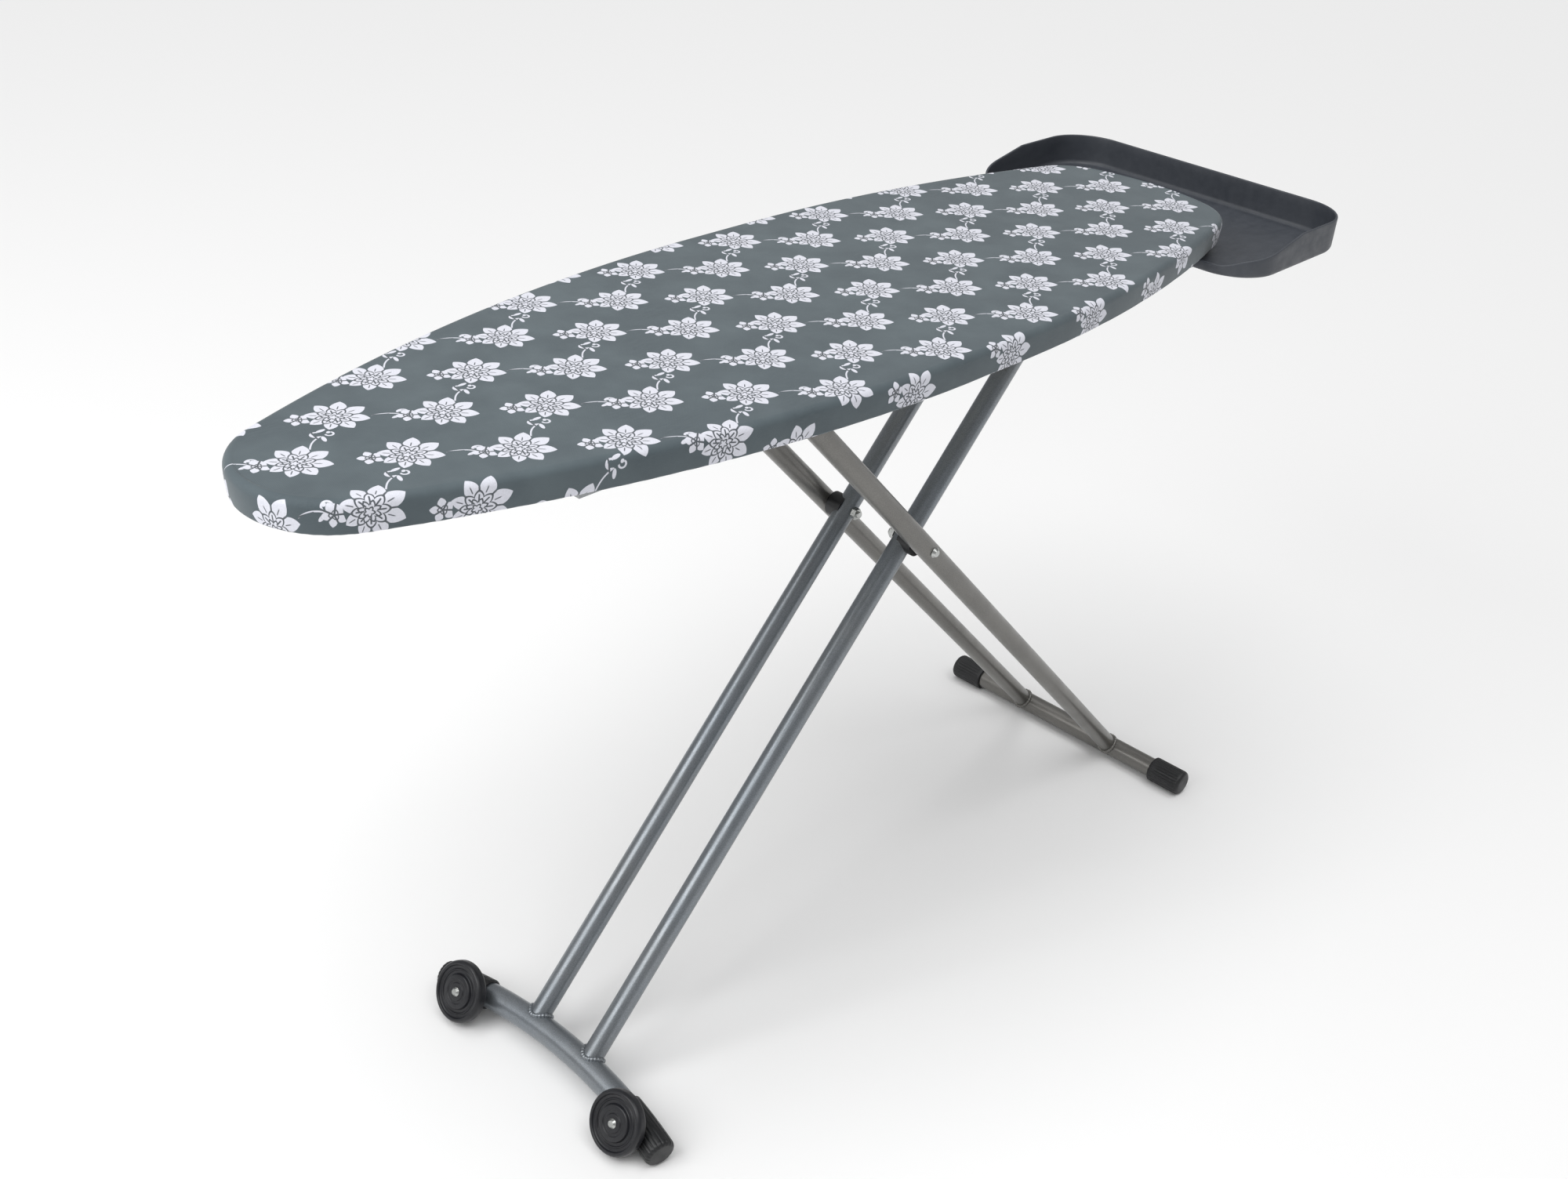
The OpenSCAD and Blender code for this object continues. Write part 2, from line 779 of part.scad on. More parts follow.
// Stepped wheel: tyre band, sunk ring and raised hub.
module wheel(far) {
    r = wheel_d / 2;
    step = 2.5;
    bore = axle_r + fit;
    color("black")
        at_axle(far)
            translate([0, 0, wheel_from_bar])
                rotate_extrude($fn = 96)
                    polygon([
                        [bore, 0], [r - 2, 0], [r, 2], [r, wheel_t - 4], [r - 2, wheel_t - 2],
                        [r * 0.8, wheel_t - 2], [r * 0.8, wheel_t - 2 - step], [r * 0.6, wheel_t - 2 - step],
                        [r * 0.55, wheel_t - 1], [r * 0.3, wheel_t - 1], [r * 0.27, wheel_t], [bore, wheel_t]
                    ]);
}

// ---- Pivot ----

// Spacer saddled on a wheel leg, filling the gap to the foot leg.
module spacer(far) {
    y1 = foot_leg_y - leg_r - clear;
    color("black")
        mirrored(far)
            difference() {
                across(pivot_x, pivot_z, wheel_leg_y, y1, spacer_d / 2);
                translate([joint_x, wheel_leg_y, joint_z])
                    rotate([0, 90 - leg_angle, 0])
                        cylinder(h = wheel_leg_l + upper_l, r = leg_r + fit, $fn = round_fn);
                across(pivot_x, pivot_z, wheel_leg_y - 1, y1 + 1, bolt_d / 2 + fit);
            }
}

pivot_head_y = foot_leg_y + leg_r + clear;
nut_y1 = wheel_leg_y - leg_r - fit;
nut_l = 6;
bolt_tail = 3;

module pivot_bolt(far) {
    color("lightgray")
        mirrored(far) {
            across(pivot_x, pivot_z, nut_y1 - nut_l - bolt_tail, pivot_head_y, bolt_d / 2);
            translate([pivot_x, pivot_head_y, pivot_z])
                rotate([-90, 0, 0])
                    cylinder(h = 3.5, r1 = bolt_d * 0.8, r2 = bolt_d * 0.5, $fn = round_fn);
        }
}

module pivot_nuts() {
    color("lightgray")
        for (far = [false, true])
            mirrored(far)
                difference() {
                    translate([pivot_x, nut_y1 - nut_l, pivot_z])
                        rotate([-90, 0, 0])
                            cylinder(h = nut_l, r = bolt_d * 0.9, $fn = 6);
                    across(pivot_x, pivot_z, nut_y1 - nut_l - 1, nut_y1 + 1, bolt_d / 2 + fit);
                }
}

// ---- Foot legs ----

module foot_leg(far) {
    past_rod = 8;
    length = foot_leg_l + upper_l + past_rod;
    bottom = [foot_x, foot_leg_y, foot_z];
    color("gray")
        mirrored(far)
            difference() {
                slanted(bottom, 180 - foot_leg_angle, length, leg_r);
                translate([cos(foot_leg_angle), 0, -sin(foot_leg_angle)])
                    slanted(bottom, 180 - foot_leg_angle, length + 2, leg_bore_r);
                across(foot_x, foot_z, foot_leg_y - leg_d, foot_leg_y + leg_d, foot_bar_d / 2);
                across(slide_x, slide_z, foot_leg_y - leg_d, foot_leg_y + leg_d, slide_rod_d / 2);
                across(pivot_x, pivot_z, foot_leg_y - leg_d, foot_leg_y + leg_d, bolt_d / 2 + fit);
            }
}

module foot_bar() {
    reach = foot_bar_l / 2 - sleeve_end_t;
    color("gray")
        difference() {
            across(foot_x, foot_z, -reach, reach, foot_bar_d / 2);
            across(foot_x, foot_z, -reach - 1, reach + 1, foot_bar_d / 2 - bar_wall);
        }
}

module foot_cap(far) {
    outer = foot_cap_d / 2;
    bevel = 5;
    socket_l = foot_cap_l - sleeve_end_t;
    color("black")
        mirrored(far)
            translate([foot_x, foot_bar_l / 2 - foot_cap_l, foot_z])
                rotate([-90, 0, 0])
                    difference() {
                        union() {
                            cylinder(h = foot_cap_l - bevel, r = outer, $fn = round_fn);
                            translate([0, 0, foot_cap_l - bevel])
                                cylinder(h = bevel, r1 = outer, r2 = outer - bevel, $fn = round_fn);
                        }
                        translate([0, 0, -1])
                            cylinder(h = socket_l + 1, r = foot_bar_d / 2 + fit, $fn = round_fn);
                    }
}

module slide_rod() {
    reach = shoe_y + shoe_l;
    color("lightgray")
        across(slide_x, slide_z, -reach, reach, slide_rod_d / 2);
}

module slide_shoe(far) {
    color("ivory")
        mirrored(far)
            difference() {
                across(slide_x, slide_z, shoe_y, shoe_y + shoe_l, shoe_d / 2);
                across(slide_x, slide_z, shoe_y - 1, shoe_y + shoe_l + 1, slide_rod_d / 2 + fit);
            }
}

cover();
hem_elastic();
pad();
top_mesh();
rim_nose();
rim_side(false);  // rim_side_near
rim_side(true);  // rim_side_far
rim_tail();
brace(brace_nose_x);  // brace_nose
brace(brace_front_x);  // brace_front
brace(brace_mid_x);  // brace_mid
brace(brace_waist_x);  // brace_waist
tray_brace(hinge_brace_x);  // brace_hinge
tray_brace(brace_end_x);  // brace_end
slide_rail(false);  // slide_rail_near
slide_rail(true);  // slide_rail_far
height_rack(false);  // height_rack_near
height_rack(true);  // height_rack_far
hinge_bracket(false);  // hinge_bracket_near
hinge_bracket(true);  // hinge_bracket_far
hinge_rod();
lever_bracket();
lever_pin();
lever_spring();
lever_arm();
lever_grip();
iron_tray();
tray_arm(-1);  // tray_arm_near
tray_arm(1);  // tray_arm_far
tray_screws();
wheel_leg(false);  // wheel_leg_near
wheel_leg(true);  // wheel_leg_far
hinge_knuckle();
wheel_bar();
sleeve(false);  // sleeve_near
sleeve(true);  // sleeve_far
axle(false);  // axle_near
axle(true);  // axle_far
wheel(false);  // wheel_near
wheel(true);  // wheel_far
spacer(false);  // spacer_near
spacer(true);  // spacer_far
pivot_bolt(false);  // pivot_bolt_near
pivot_bolt(true);  // pivot_bolt_far
pivot_nuts();
foot_leg(false);  // foot_leg_near
foot_leg(true);  // foot_leg_far
foot_bar();
foot_cap(false);  // foot_cap_near
foot_cap(true);  // foot_cap_far
slide_rod();
slide_shoe(false);  // slide_shoe_near
slide_shoe(true);  // slide_shoe_far
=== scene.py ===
"""Looks of the folding ironing board: printed cover, felt, painted tubes, castors and iron tray.

Lengths are in metres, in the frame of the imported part: +X runs to the tail, -Y is the near side, +Z is up.
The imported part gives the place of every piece; this script gives each one its surface and its fine shape.
"""

import json
import logging
import math
from collections.abc import Callable, Sequence
from dataclasses import dataclass
from enum import Enum

import bpy
import numpy as np
from mathutils import Matrix, Vector


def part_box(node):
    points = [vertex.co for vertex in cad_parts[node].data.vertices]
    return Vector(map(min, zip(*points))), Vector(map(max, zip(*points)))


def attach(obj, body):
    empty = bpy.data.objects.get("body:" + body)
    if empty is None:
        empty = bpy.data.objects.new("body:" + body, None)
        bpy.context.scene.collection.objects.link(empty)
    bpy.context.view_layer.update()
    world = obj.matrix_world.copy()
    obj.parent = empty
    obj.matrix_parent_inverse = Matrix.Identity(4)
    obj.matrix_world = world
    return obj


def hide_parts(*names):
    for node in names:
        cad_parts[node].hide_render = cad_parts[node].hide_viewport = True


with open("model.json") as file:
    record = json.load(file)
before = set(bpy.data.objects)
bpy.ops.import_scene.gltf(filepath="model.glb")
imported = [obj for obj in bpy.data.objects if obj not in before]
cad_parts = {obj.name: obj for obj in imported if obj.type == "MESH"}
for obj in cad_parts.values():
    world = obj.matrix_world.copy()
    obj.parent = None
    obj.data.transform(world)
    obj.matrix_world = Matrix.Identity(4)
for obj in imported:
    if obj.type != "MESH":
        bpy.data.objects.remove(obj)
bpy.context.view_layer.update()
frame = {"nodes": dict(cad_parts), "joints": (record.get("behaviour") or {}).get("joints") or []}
MM = 0.001
CROSSWISE = Vector((0, 1, 0))
log = logging.getLogger("ironing_board")


class Body(Enum):
    """Moving bodies of the part."""

    BOARD = "board"
    WHEEL_LEGS = "wheel_legs"
    FOOT_LEGS = "foot_legs"
    WHEEL_NEAR = "wheel_near"
    WHEEL_FAR = "wheel_far"
    LEVER = "release_lever"


class Slot(Enum):
    """Material slots of the part."""

    COVER = "cover_fabric"
    ELASTIC = "elastic"
    FELT = "felt"
    MESH = "mesh_steel"
    FRAME = "frame_paint"
    WHEEL_LEG = "wheel_leg_paint"
    FOOT_LEG = "foot_leg_paint"
    ZINC = "zinc_steel"
    SPRING = "spring_steel"
    LEVER = "lever_steel"
    BLACK = "black_plastic"
    WHEEL = "wheel_plastic"
    TRAY = "tray_plastic"
    NYLON = "nylon"


class Side(Enum):
    """Side of the board, with its sign along Y."""

    NEAR = -1
    FAR = 1


# ---- Shader helpers ----

# A Mix node that mixes colours: its kind and setting, its two colour inputs and its colour output.
COLOUR_MIX = ("ShaderNodeMix", {"data_type": "RGBA"})
FIRST, SECOND, MIXED = 6, 7, 2


def linear(colour: str) -> tuple[float, float, float, float]:
    """Turns an sRGB hex colour to linear.

    Args:
        colour: Six hex digits, such as "8a9094".

    Returns:
        Linear red, green and blue, and an alpha of 1.
    """
    parts = [int(colour[i : i + 2], 16) / 255 for i in (0, 2, 4)]
    r, g, b = [p / 12.92 if p <= 0.04045 else ((p + 0.055) / 1.055) ** 2.4 for p in parts]
    return (r, g, b, 1.0)


def add_node(
    tree: bpy.types.NodeTree,
    kind: str,
    settings: dict[str, object] | None = None,
    inputs: dict[str | int, object] | None = None,
) -> bpy.types.Node:
    """Adds a node, sets its properties and sets or links its inputs.

    Args:
        tree: The node tree that it goes in.
        kind: Blender's name for the kind of node.
        settings: Property names with their values.
        inputs: Input names or numbers with a value, a socket or a Scalar.

    Returns:
        The new node.
    """
    node = tree.nodes.new(kind)
    for name, value in (settings or {}).items():
        setattr(node, name, value)
    for key, value in (inputs or {}).items():
        source = value.source if isinstance(value, Scalar) else value
        if isinstance(source, bpy.types.NodeSocket):
            tree.links.new(source, node.inputs[key])
        else:
            node.inputs[key].default_value = source
    return node


class Scalar:
    """A number that varies over a surface; arithmetic on it adds Math nodes to its tree."""

    def __init__(self, tree: bpy.types.NodeTree, source: "bpy.types.NodeSocket | float") -> None:
        """Holds the socket or constant that the number comes from."""
        self.tree = tree
        self.source = source

    def math(self, operation: str, *others: "Scalar | float") -> "Scalar":
        """Applies one operation to this number and the others.

        Args:
            operation: Blender's name for the operation.
            others: The other numbers it takes.

        Returns:
            The result.
        """
        inputs = dict(enumerate((self, *others)))
        node = add_node(self.tree, "ShaderNodeMath", {"operation": operation}, inputs)
        return Scalar(self.tree, node.outputs[0])

    def __add__(self, other: "Scalar | float") -> "Scalar":
        """Sum."""
        return self.math("ADD", other)

    def __sub__(self, other: "Scalar | float") -> "Scalar":
        """Difference."""
        return self.math("SUBTRACT", other)

    def __mul__(self, other: "Scalar | float") -> "Scalar":
        """Product."""
        return self.math("MULTIPLY", other)

    def __truediv__(self, other: "Scalar | float") -> "Scalar":
        """Quotient."""
        return self.math("DIVIDE", other)

    def flipped(self) -> "Scalar":
        """One minus this number."""
        return Scalar(self.tree, 1.0) - self

    def below(self, edge: "Scalar | float", soft: float) -> "Scalar":
        """Mask that is 1 where this number is under edge and 0 above it, over a soft step."""
        step = (Scalar(self.tree, 0.5) + (Scalar(self.tree, 0.0) + edge - self) / soft).math("MINIMUM", 1.0)
        return step.math("MAXIMUM", 0.0)

    def near_to(self, place: "Scalar | float", reach: float, soft: float) -> "Scalar":
        """Mask that is 1 where this number is within reach of place."""
        return (self - place).math("ABSOLUTE").below(reach, soft)

    def either(self, other: "Scalar") -> "Scalar":
        """The larger of two masks."""
        return self.math("MAXIMUM", other)


@dataclass(frozen=True)
class Place:
    """A point on a flat pattern, in millimetres."""

    x: Scalar
    y: Scalar

    def shifted(self, dx: float, dy: float) -> "Place":
        """The same point measured from (dx, dy)."""
        return Place(self.x - dx, self.y - dy)

    def turned(self, degrees: float) -> "Place":
        """The same point in axes that are turned by an angle."""
        c, s = math.cos(math.radians(degrees)), math.sin(math.radians(degrees))
        return Place(self.x * c + self.y * s, self.y * c - self.x * s)

    def radius(self) -> Scalar:
        """Distance from the origin."""
        return (self.x * self.x + self.y * self.y).math("SQRT")

    def oval(self, long: float, wide: float) -> Scalar:
        """Mask of an ellipse about the origin with these half axes."""
        return Place(self.x / long, self.y / wide).radius().below(1.0, 0.16)

    def petal_share(self, count: int) -> Scalar:
        """0 along the axis of each of count petals, and 1 halfway between two."""
        turn = self.y.math("ARCTAN2", self.x) * (count / math.tau) + (count + 0.5)
        return (turn.math("FRACT") - 0.5).math("ABSOLUTE") * 2.0


def new_material(name: str) -> tuple[bpy.types.Material, bpy.types.NodeTree]:
    """Makes a material with an empty node tree.

    Args:
        name: The material's name.

    Returns:
        The material and its node tree.
    """
    material = bpy.data.materials.new(name)
    material.use_nodes = True
    material.node_tree.nodes.clear()
    return material, material.node_tree


def surfaced(material: bpy.types.Material, sockets: dict[str | int, object]) -> bpy.types.Material:
    """Ends a material with its shader and its output.

    Args:
        material: The material.
        sockets: The shader's inputs, as add_node takes them.

    Returns:
        The material.
    """
    tree = material.node_tree
    shader = add_node(tree, "ShaderNodeBsdfPrincipled", inputs=sockets)
    add_node(tree, "ShaderNodeOutputMaterial", inputs={"Surface": shader.outputs[0]})
    return material


def clouds(
    tree: bpy.types.NodeTree, grain: float, detail: float = 3.0, stretch: Sequence[float] = (1, 1, 1)
) -> Scalar:
    """Cloudy pattern fixed to the object.

    Args:
        tree: The node tree.
        grain: Size of its blobs in millimetres.
        detail: Number of finer layers in it.
        stretch: How much longer the blobs are along each axis.

    Returns:
        A value around 0.5.
    """
    place = add_node(tree, "ShaderNodeTexCoord").outputs["Object"]
    scale = [1000 / grain / s for s in stretch]
    mapped = add_node(tree, "ShaderNodeMapping", inputs={"Vector": place, "Scale": scale})
    inputs = {"Vector": mapped.outputs[0], "Scale": 1.0, "Detail": detail}
    return Scalar(tree, add_node(tree, "ShaderNodeTexNoise", inputs=inputs).outputs["Fac"])


def contrast_window(contrast: float, low: float, high: float) -> dict[str | int, object]:
    """Map Range inputs that stretch a value around 0.5 to run between low and high."""
    return {1: 0.5 - 0.5 / contrast, 2: 0.5 + 0.5 / contrast, 3: low, 4: high}


def mottle(
    tree: bpy.types.NodeTree,
    grain: float,
    low: float,
    high: float,
    detail: float = 3.0,
    stretch: Sequence[float] = (1, 1, 1),
    contrast: float = 2.5,
) -> Scalar:
    """Cloudy pattern that runs between two values.

    Args:
        tree: The node tree.
        grain: Size of its blobs in millimetres.
        low: The lowest value.
        high: The highest value.
        detail: Number of finer layers in it.
        stretch: How much longer the blobs are along each axis.
        contrast: How sharply it goes from one to the other.

    Returns:
        The pattern.
    """
    inputs = {"Value": clouds(tree, grain, detail, stretch)} | contrast_window(contrast, low, high)
    return Scalar(tree, add_node(tree, "ShaderNodeMapRange", {"clamp": True}, inputs).outputs[0])


# ---- Finishes ----


@dataclass(frozen=True)
class PowderCoat:
    """Metallic polyester powder coat on steel: soft long highlights, faint flake and orange peel."""

    name: str
    colour: str
    flake: str
    roughness: float = 0.34
    metallic: float = 0.72
    flake_size: float = 0.9
    flake_share: float = 0.55
    peel_size: float = 2.2
    peel_depth: float = 0.035
    dust: str = "8d8b86"
    dust_size: float = 70.0
    dust_share: float = 0.22
    wear_size: float = 26.0
    coat: float = 0.25
    coat_roughness: float = 0.3

    def build(self) -> bpy.types.Material:
        """Makes the material.

        Returns:
            The material.
        """
        material, tree = new_material(self.name)
        flake = mottle(tree, self.flake_size, 0.0, self.flake_share, 1.0)
        dust = mottle(tree, self.dust_size, 0.0, self.dust_share)
        rough = mottle(tree, self.wear_size, self.roughness - 0.05, self.roughness + 0.07, 4.0)
        metal = {0: flake, FIRST: linear(self.colour), SECOND: linear(self.flake)}
        paint = add_node(tree, *COLOUR_MIX, metal).outputs[MIXED]
        base = add_node(tree, *COLOUR_MIX, {0: dust, FIRST: paint, SECOND: linear(self.dust)})
        skin = clouds(tree, self.peel_size, 2.0)
        peel = {"Height": skin, "Distance": self.peel_depth * MM, "Strength": 1.0}
        sockets = {
            "Base Color": base.outputs[MIXED],
            "Roughness": rough,
            "Normal": add_node(tree, "ShaderNodeBump", inputs=peel).outputs[0],
            "Metallic": self.metallic,
            "Coat Weight": self.coat,
            "Coat Roughness": self.coat_roughness,
        }
        return surfaced(material, sockets)


@dataclass(frozen=True)
class ZincPlate:
    """Bright zinc plate on steel: a clear metal with a slight cloudy bloom and drawing lines."""

    name: str
    colour: str = "c4c6c4"
    bloom: str = "9d9f9c"
    roughness: float = 0.27
    bloom_size: float = 7.0
    bloom_share: float = 0.7
    wear_size: float = 4.0
    line_size: float = 0.5
    line_length: float = 24.0
    line_depth: float = 0.012

    def build(self) -> bpy.types.Material:
        """Makes the material.

        Returns:
            The material.
        """
        material, tree = new_material(self.name)
        bloom = mottle(tree, self.bloom_size, 0.0, self.bloom_share, 4.0)
        rough = mottle(tree, self.wear_size, self.roughness - 0.06, self.roughness + 0.12)
        zinc = {0: bloom, FIRST: linear(self.colour), SECOND: linear(self.bloom)}
        base = add_node(tree, *COLOUR_MIX, zinc)
        lines = clouds(tree, self.line_size, 2.0, (1, self.line_length, 1))
        drawn = {"Height": lines, "Distance": self.line_depth * MM, "Strength": 1.0}
        sockets = {
            "Base Color": base.outputs[MIXED],
            "Metallic": 1.0,
            "Roughness": rough,
            "Normal": add_node(tree, "ShaderNodeBump", inputs=drawn).outputs[0],
        }
        return surfaced(material, sockets)


@dataclass(frozen=True)
class MouldedPlastic:
    """Injection-moulded plastic: satin, with a fine spark-eroded grain and a few pale scuffs."""

    name: str
    colour: str
    scuff: str
    roughness: float = 0.42
    grain: float = 0.55
    depth: float = 0.05
    ior: float = 1.49
    scuff_size: float = 9.0
    scuff_share: float = 0.3
    tone_size: float = 45.0
    tone_share: float = 0.25
    gloss_size: float = 14.0

    def build(self) -> bpy.types.Material:
        """Makes the material.

        Returns:
            The material.
        """
        material, tree = new_material(self.name)
        colour, scuff = linear(self.colour), linear(self.scuff)
        worn = mottle(tree, self.scuff_size, 0.0, self.scuff_share, 6.0, (3, 1, 1), 4.0)
        tone = mottle(tree, self.tone_size, 0.0, self.tone_share, 2.0)
        rough = mottle(tree, self.gloss_size, self.roughness - 0.07, self.roughness + 0.1)
        scuffed = add_node(tree, *COLOUR_MIX, {0: worn, FIRST: colour, SECOND: scuff})
        base = add_node(tree, *COLOUR_MIX, {0: tone, FIRST: scuffed.outputs[MIXED], SECOND: scuff})
        sparks = clouds(tree, self.grain, 2.0)
        eroded = {"Height": sparks, "Distance": self.depth * MM, "Strength": 1.0}
        sockets = {
            "Base Color": base.outputs[MIXED],
            "Roughness": rough,
            "Normal": add_node(tree, "ShaderNodeBump", inputs=eroded).outputs[0],
            "IOR": self.ior,
        }
        return surfaced(material, sockets)


@dataclass(frozen=True)
class NeedledFelt:
    """Polyester needle felt: matt, pale, with matted fibres."""

    name: str
    colour: str = "dcd9d0"
    fibre: str = "bdb9ae"
    fibre_size: float = 0.8
    fibre_length: float = 7.0
    fibre_depth: float = 0.5
    lump_size: float = 22.0
    lump_depth: float = 0.8

    def build(self) -> bpy.types.Material:
        """Makes the material.

        Returns:
            The material.
        """
        material, tree = new_material(self.name)
        along = clouds(tree, self.fibre_size, 3.0, (self.fibre_length, 1, 1))
        across = clouds(tree, self.fibre_size, 3.0, (1, self.fibre_length, 1))
        fibres = (along + across) * 0.5
        window = {"Value": fibres} | contrast_window(4.0, 0.0, 1.0)
        share = add_node(tree, "ShaderNodeMapRange", {"clamp": True}, window).outputs[0]
        wool = {0: share, FIRST: linear(self.colour), SECOND: linear(self.fibre)}
        base = add_node(tree, *COLOUR_MIX, wool)
        batting = clouds(tree, self.lump_size, 2.0)
        lumps = {"Height": batting, "Distance": self.lump_depth * MM, "Strength": 1.0}
        under = add_node(tree, "ShaderNodeBump", inputs=lumps).outputs[0]
        matted = {"Height": fibres, "Distance": self.fibre_depth * MM, "Strength": 1.0, "Normal": under}
        sockets = {
            "Base Color": base.outputs[MIXED],
            "Roughness": 0.95,
            "Normal": add_node(tree, "ShaderNodeBump", inputs=matted).outputs[0],
            "Sheen Weight": 0.35,
        }
        return surfaced(material, sockets)


@dataclass(frozen=True)
class BraidedElastic:
    """Flat braided elastic: matt white yarn in a fine chevron across the band, with painted shade in the
    grooves between the yarns.
    """

    name: str
    colour: str = "d8d8d4"
    # Grey painted into the braid's grooves as shade; the yarn itself is white all through.
    groove: str = "9c9c98"
    rib: float = 1.1
    depth: float = 0.25

    def build(self) -> bpy.types.Material:
        """Makes the material.

        Returns:
            The material.
        """
        material, tree = new_material(self.name)
        place = add_node(tree, "ShaderNodeTexCoord").outputs["Object"]
        axes = add_node(tree, "ShaderNodeSeparateXYZ", inputs={0: place})
        x, y = Scalar(tree, axes.outputs[0]), Scalar(tree, axes.outputs[1])
        turns = 1000 * math.tau / self.rib
        one, other = [(slant * turns).math("SINE") * 0.5 + 0.5 for slant in (x + y, x - y)]
        weave = one * other
        # Where the weave is low, in the grooves, the white yarn is painted grey as shade.
        yarn = {0: weave, FIRST: linear(self.groove), SECOND: linear(self.colour)}
        base = add_node(tree, *COLOUR_MIX, yarn)
        braid = {"Height": weave, "Distance": self.depth * MM, "Strength": 1.0}
        sockets = {
            "Base Color": base.outputs[MIXED],
            "Roughness": 0.85,
            "Normal": add_node(tree, "ShaderNodeBump", inputs=braid).outputs[0],
            "Sheen Weight": 0.2,
        }
        return surfaced(material, sockets)


@dataclass(frozen=True)
class FloralPrint:
    """A made-up flower and its vine, repeated on a leaning lattice, in millimetres on the flat cloth."""

    pitch_x: float = 147.8
    pitch_y: float = 93.5
    start_x: float = -591.8
    start_y: float = 53.6
    lean: float = 0.046
    turn: float = 1.35
    second_x: float = 71.3
    second_y: float = 43.6
    petals: int = 8
    petal_reach: float = 27.5
    petal_stretch: float = 3.5
    petal_point: float = 0.68
    waist: float = 0.6
    seam: float = 0.85
    heart_reach: float = 16.0
    core_reach: float = 9.8
    eye_reach: float = 4.6
    eye_petals: int = 5
    heart_edge: float = 14.5
    vein_end: float = 20.5
    fold_end: float = 12.5
    bud_x: float = -26.5
    bud_y: float = 13.5
    bud_turn: float = 150.0
    bud_reach: float = 11.5
    soft: float = 0.5

    def cell(self, place: Place) -> Place:
        """Finds where a point lies from the nearest flower of the lattice.

        Args:
            place: The point, from one flower of the lattice.

        Returns:
            The point from the nearest one.
        """
        lean = place.y * self.lean
        row = (place.y / self.pitch_y).math("ROUND")
        column = ((place.x + lean) / self.pitch_x).math("ROUND")
        x = place.x - column * self.pitch_x + row * (self.lean * self.pitch_y)
        return Place(x, place.y - row * self.pitch_y)

    def nearest(self, place: Place) -> tuple[Place, Place]:
        """Finds the flower that a point is closest to.

        Args:
            place: The point, from a flower of the first kind.

        Returns:
            The point from the closest flower, and the point from the closest flower of the second kind.
        """
        first = self.cell(place)
        second = self.cell(place.shifted(self.second_x, self.second_y))
        use = second.radius().math("LESS_THAN", first.radius())
        x = first.x + (second.x - first.x) * use
        y = first.y + (second.y - first.y) * use
        return Place(x, y), second

    def petal_edge(self, share: Scalar, reach: Scalar | float, waist: float) -> Scalar:
        """Distance from a ring's middle to its petals' edge, at a share of the way between two petals."""
        return (share.flipped().math("POWER", self.petal_point) * (1 - waist) + waist) * reach

    def rosette(self, place: Place, count: int, reach: Scalar | float, waist: float) -> tuple[Scalar, Scalar]:
        """One ring of pointed petals.

        Args:
            place: The point from the ring's middle.
            count: Number of petals.
            reach: Distance from the middle to the petal tips.
            waist: Share of reach at which two petals part.

        Returns:
            The mask of the petals and the mask of the lines between them.
        """
        share = place.petal_share(count)
        radius = place.radius()
        seam = (share.flipped() * radius * (math.pi / count)).below(self.seam, self.soft)
        return radius.below(self.petal_edge(share, reach, waist), self.soft), seam

    def ring_line(self, place: Place, count: int, reach: float, waist: float, width: float) -> Scalar:
        """Drawn outline of a ring of petals.

        Args:
            place: The point from the ring's middle.
            count: Number of petals.
            reach: Distance from the middle to the petal tips.
            waist: Share of reach at which two petals part.
            width: Half the line's width.

        Returns:
            The mask of the line.
        """
        edge = self.petal_edge(place.petal_share(count), reach, waist)
        return place.radius().near_to(edge, width, self.soft)

    def flower(self, place: Place) -> tuple[Scalar, Scalar]:
        """The main flower with its bud.

        Args:
            place: The point from the flower's middle.

        Returns:
            The mask of the print and the mask of the drawing lines in it.
        """
        radius = place.radius()
        side = place.x / (radius + 0.01)
        reach = side * self.petal_stretch + self.petal_reach
        outer, seam = self.rosette(place, self.petals, reach, self.waist)
        heart = place.turned(180 / self.petals)
        middle = place.shifted(-1.5, -0.5)
        heart_line = self.ring_line(heart, self.petals, self.heart_reach, 0.62, 0.95)
        core_line = self.ring_line(middle, self.petals, self.core_reach, 0.58, 0.9)
        eye = middle.turned(180 / self.eye_petals)
        eye_line = self.ring_line(eye, self.eye_petals, self.eye_reach, 0.5, 0.8)
        inside = radius.below(self.heart_edge, 1.0)
        vein = place.petal_share(self.petals) * radius * (math.pi / self.petals)
        veins = vein.below(0.5, self.soft) * radius.below(self.vein_end, 2.0) * inside.flipped()
        fold = (heart.petal_share(self.petals) * radius).below(1.8, 1.0) * radius.below(self.fold_end, 1.0)
        lines = (seam * inside.flipped()).either(heart_line).either(core_line).either(eye_line)
        lines = lines.either(veins).either(fold * radius.below(5.0, 1.0).flipped())
        bud_place = place.shifted(self.bud_x, self.bud_y).turned(self.bud_turn)
        bud, bud_seam = self.rosette(bud_place, 5, self.bud_reach, 0.5)
        bud_line = self.ring_line(bud_place, 3, 4.6, 0.5, 0.6)
        clear = radius.below(reach * 0.84 + 1.5, self.soft).flipped()
        printed = outer.either(bud * clear)
        return printed, (lines * outer).either(bud_seam.either(bud_line) * clear * outer.flipped())

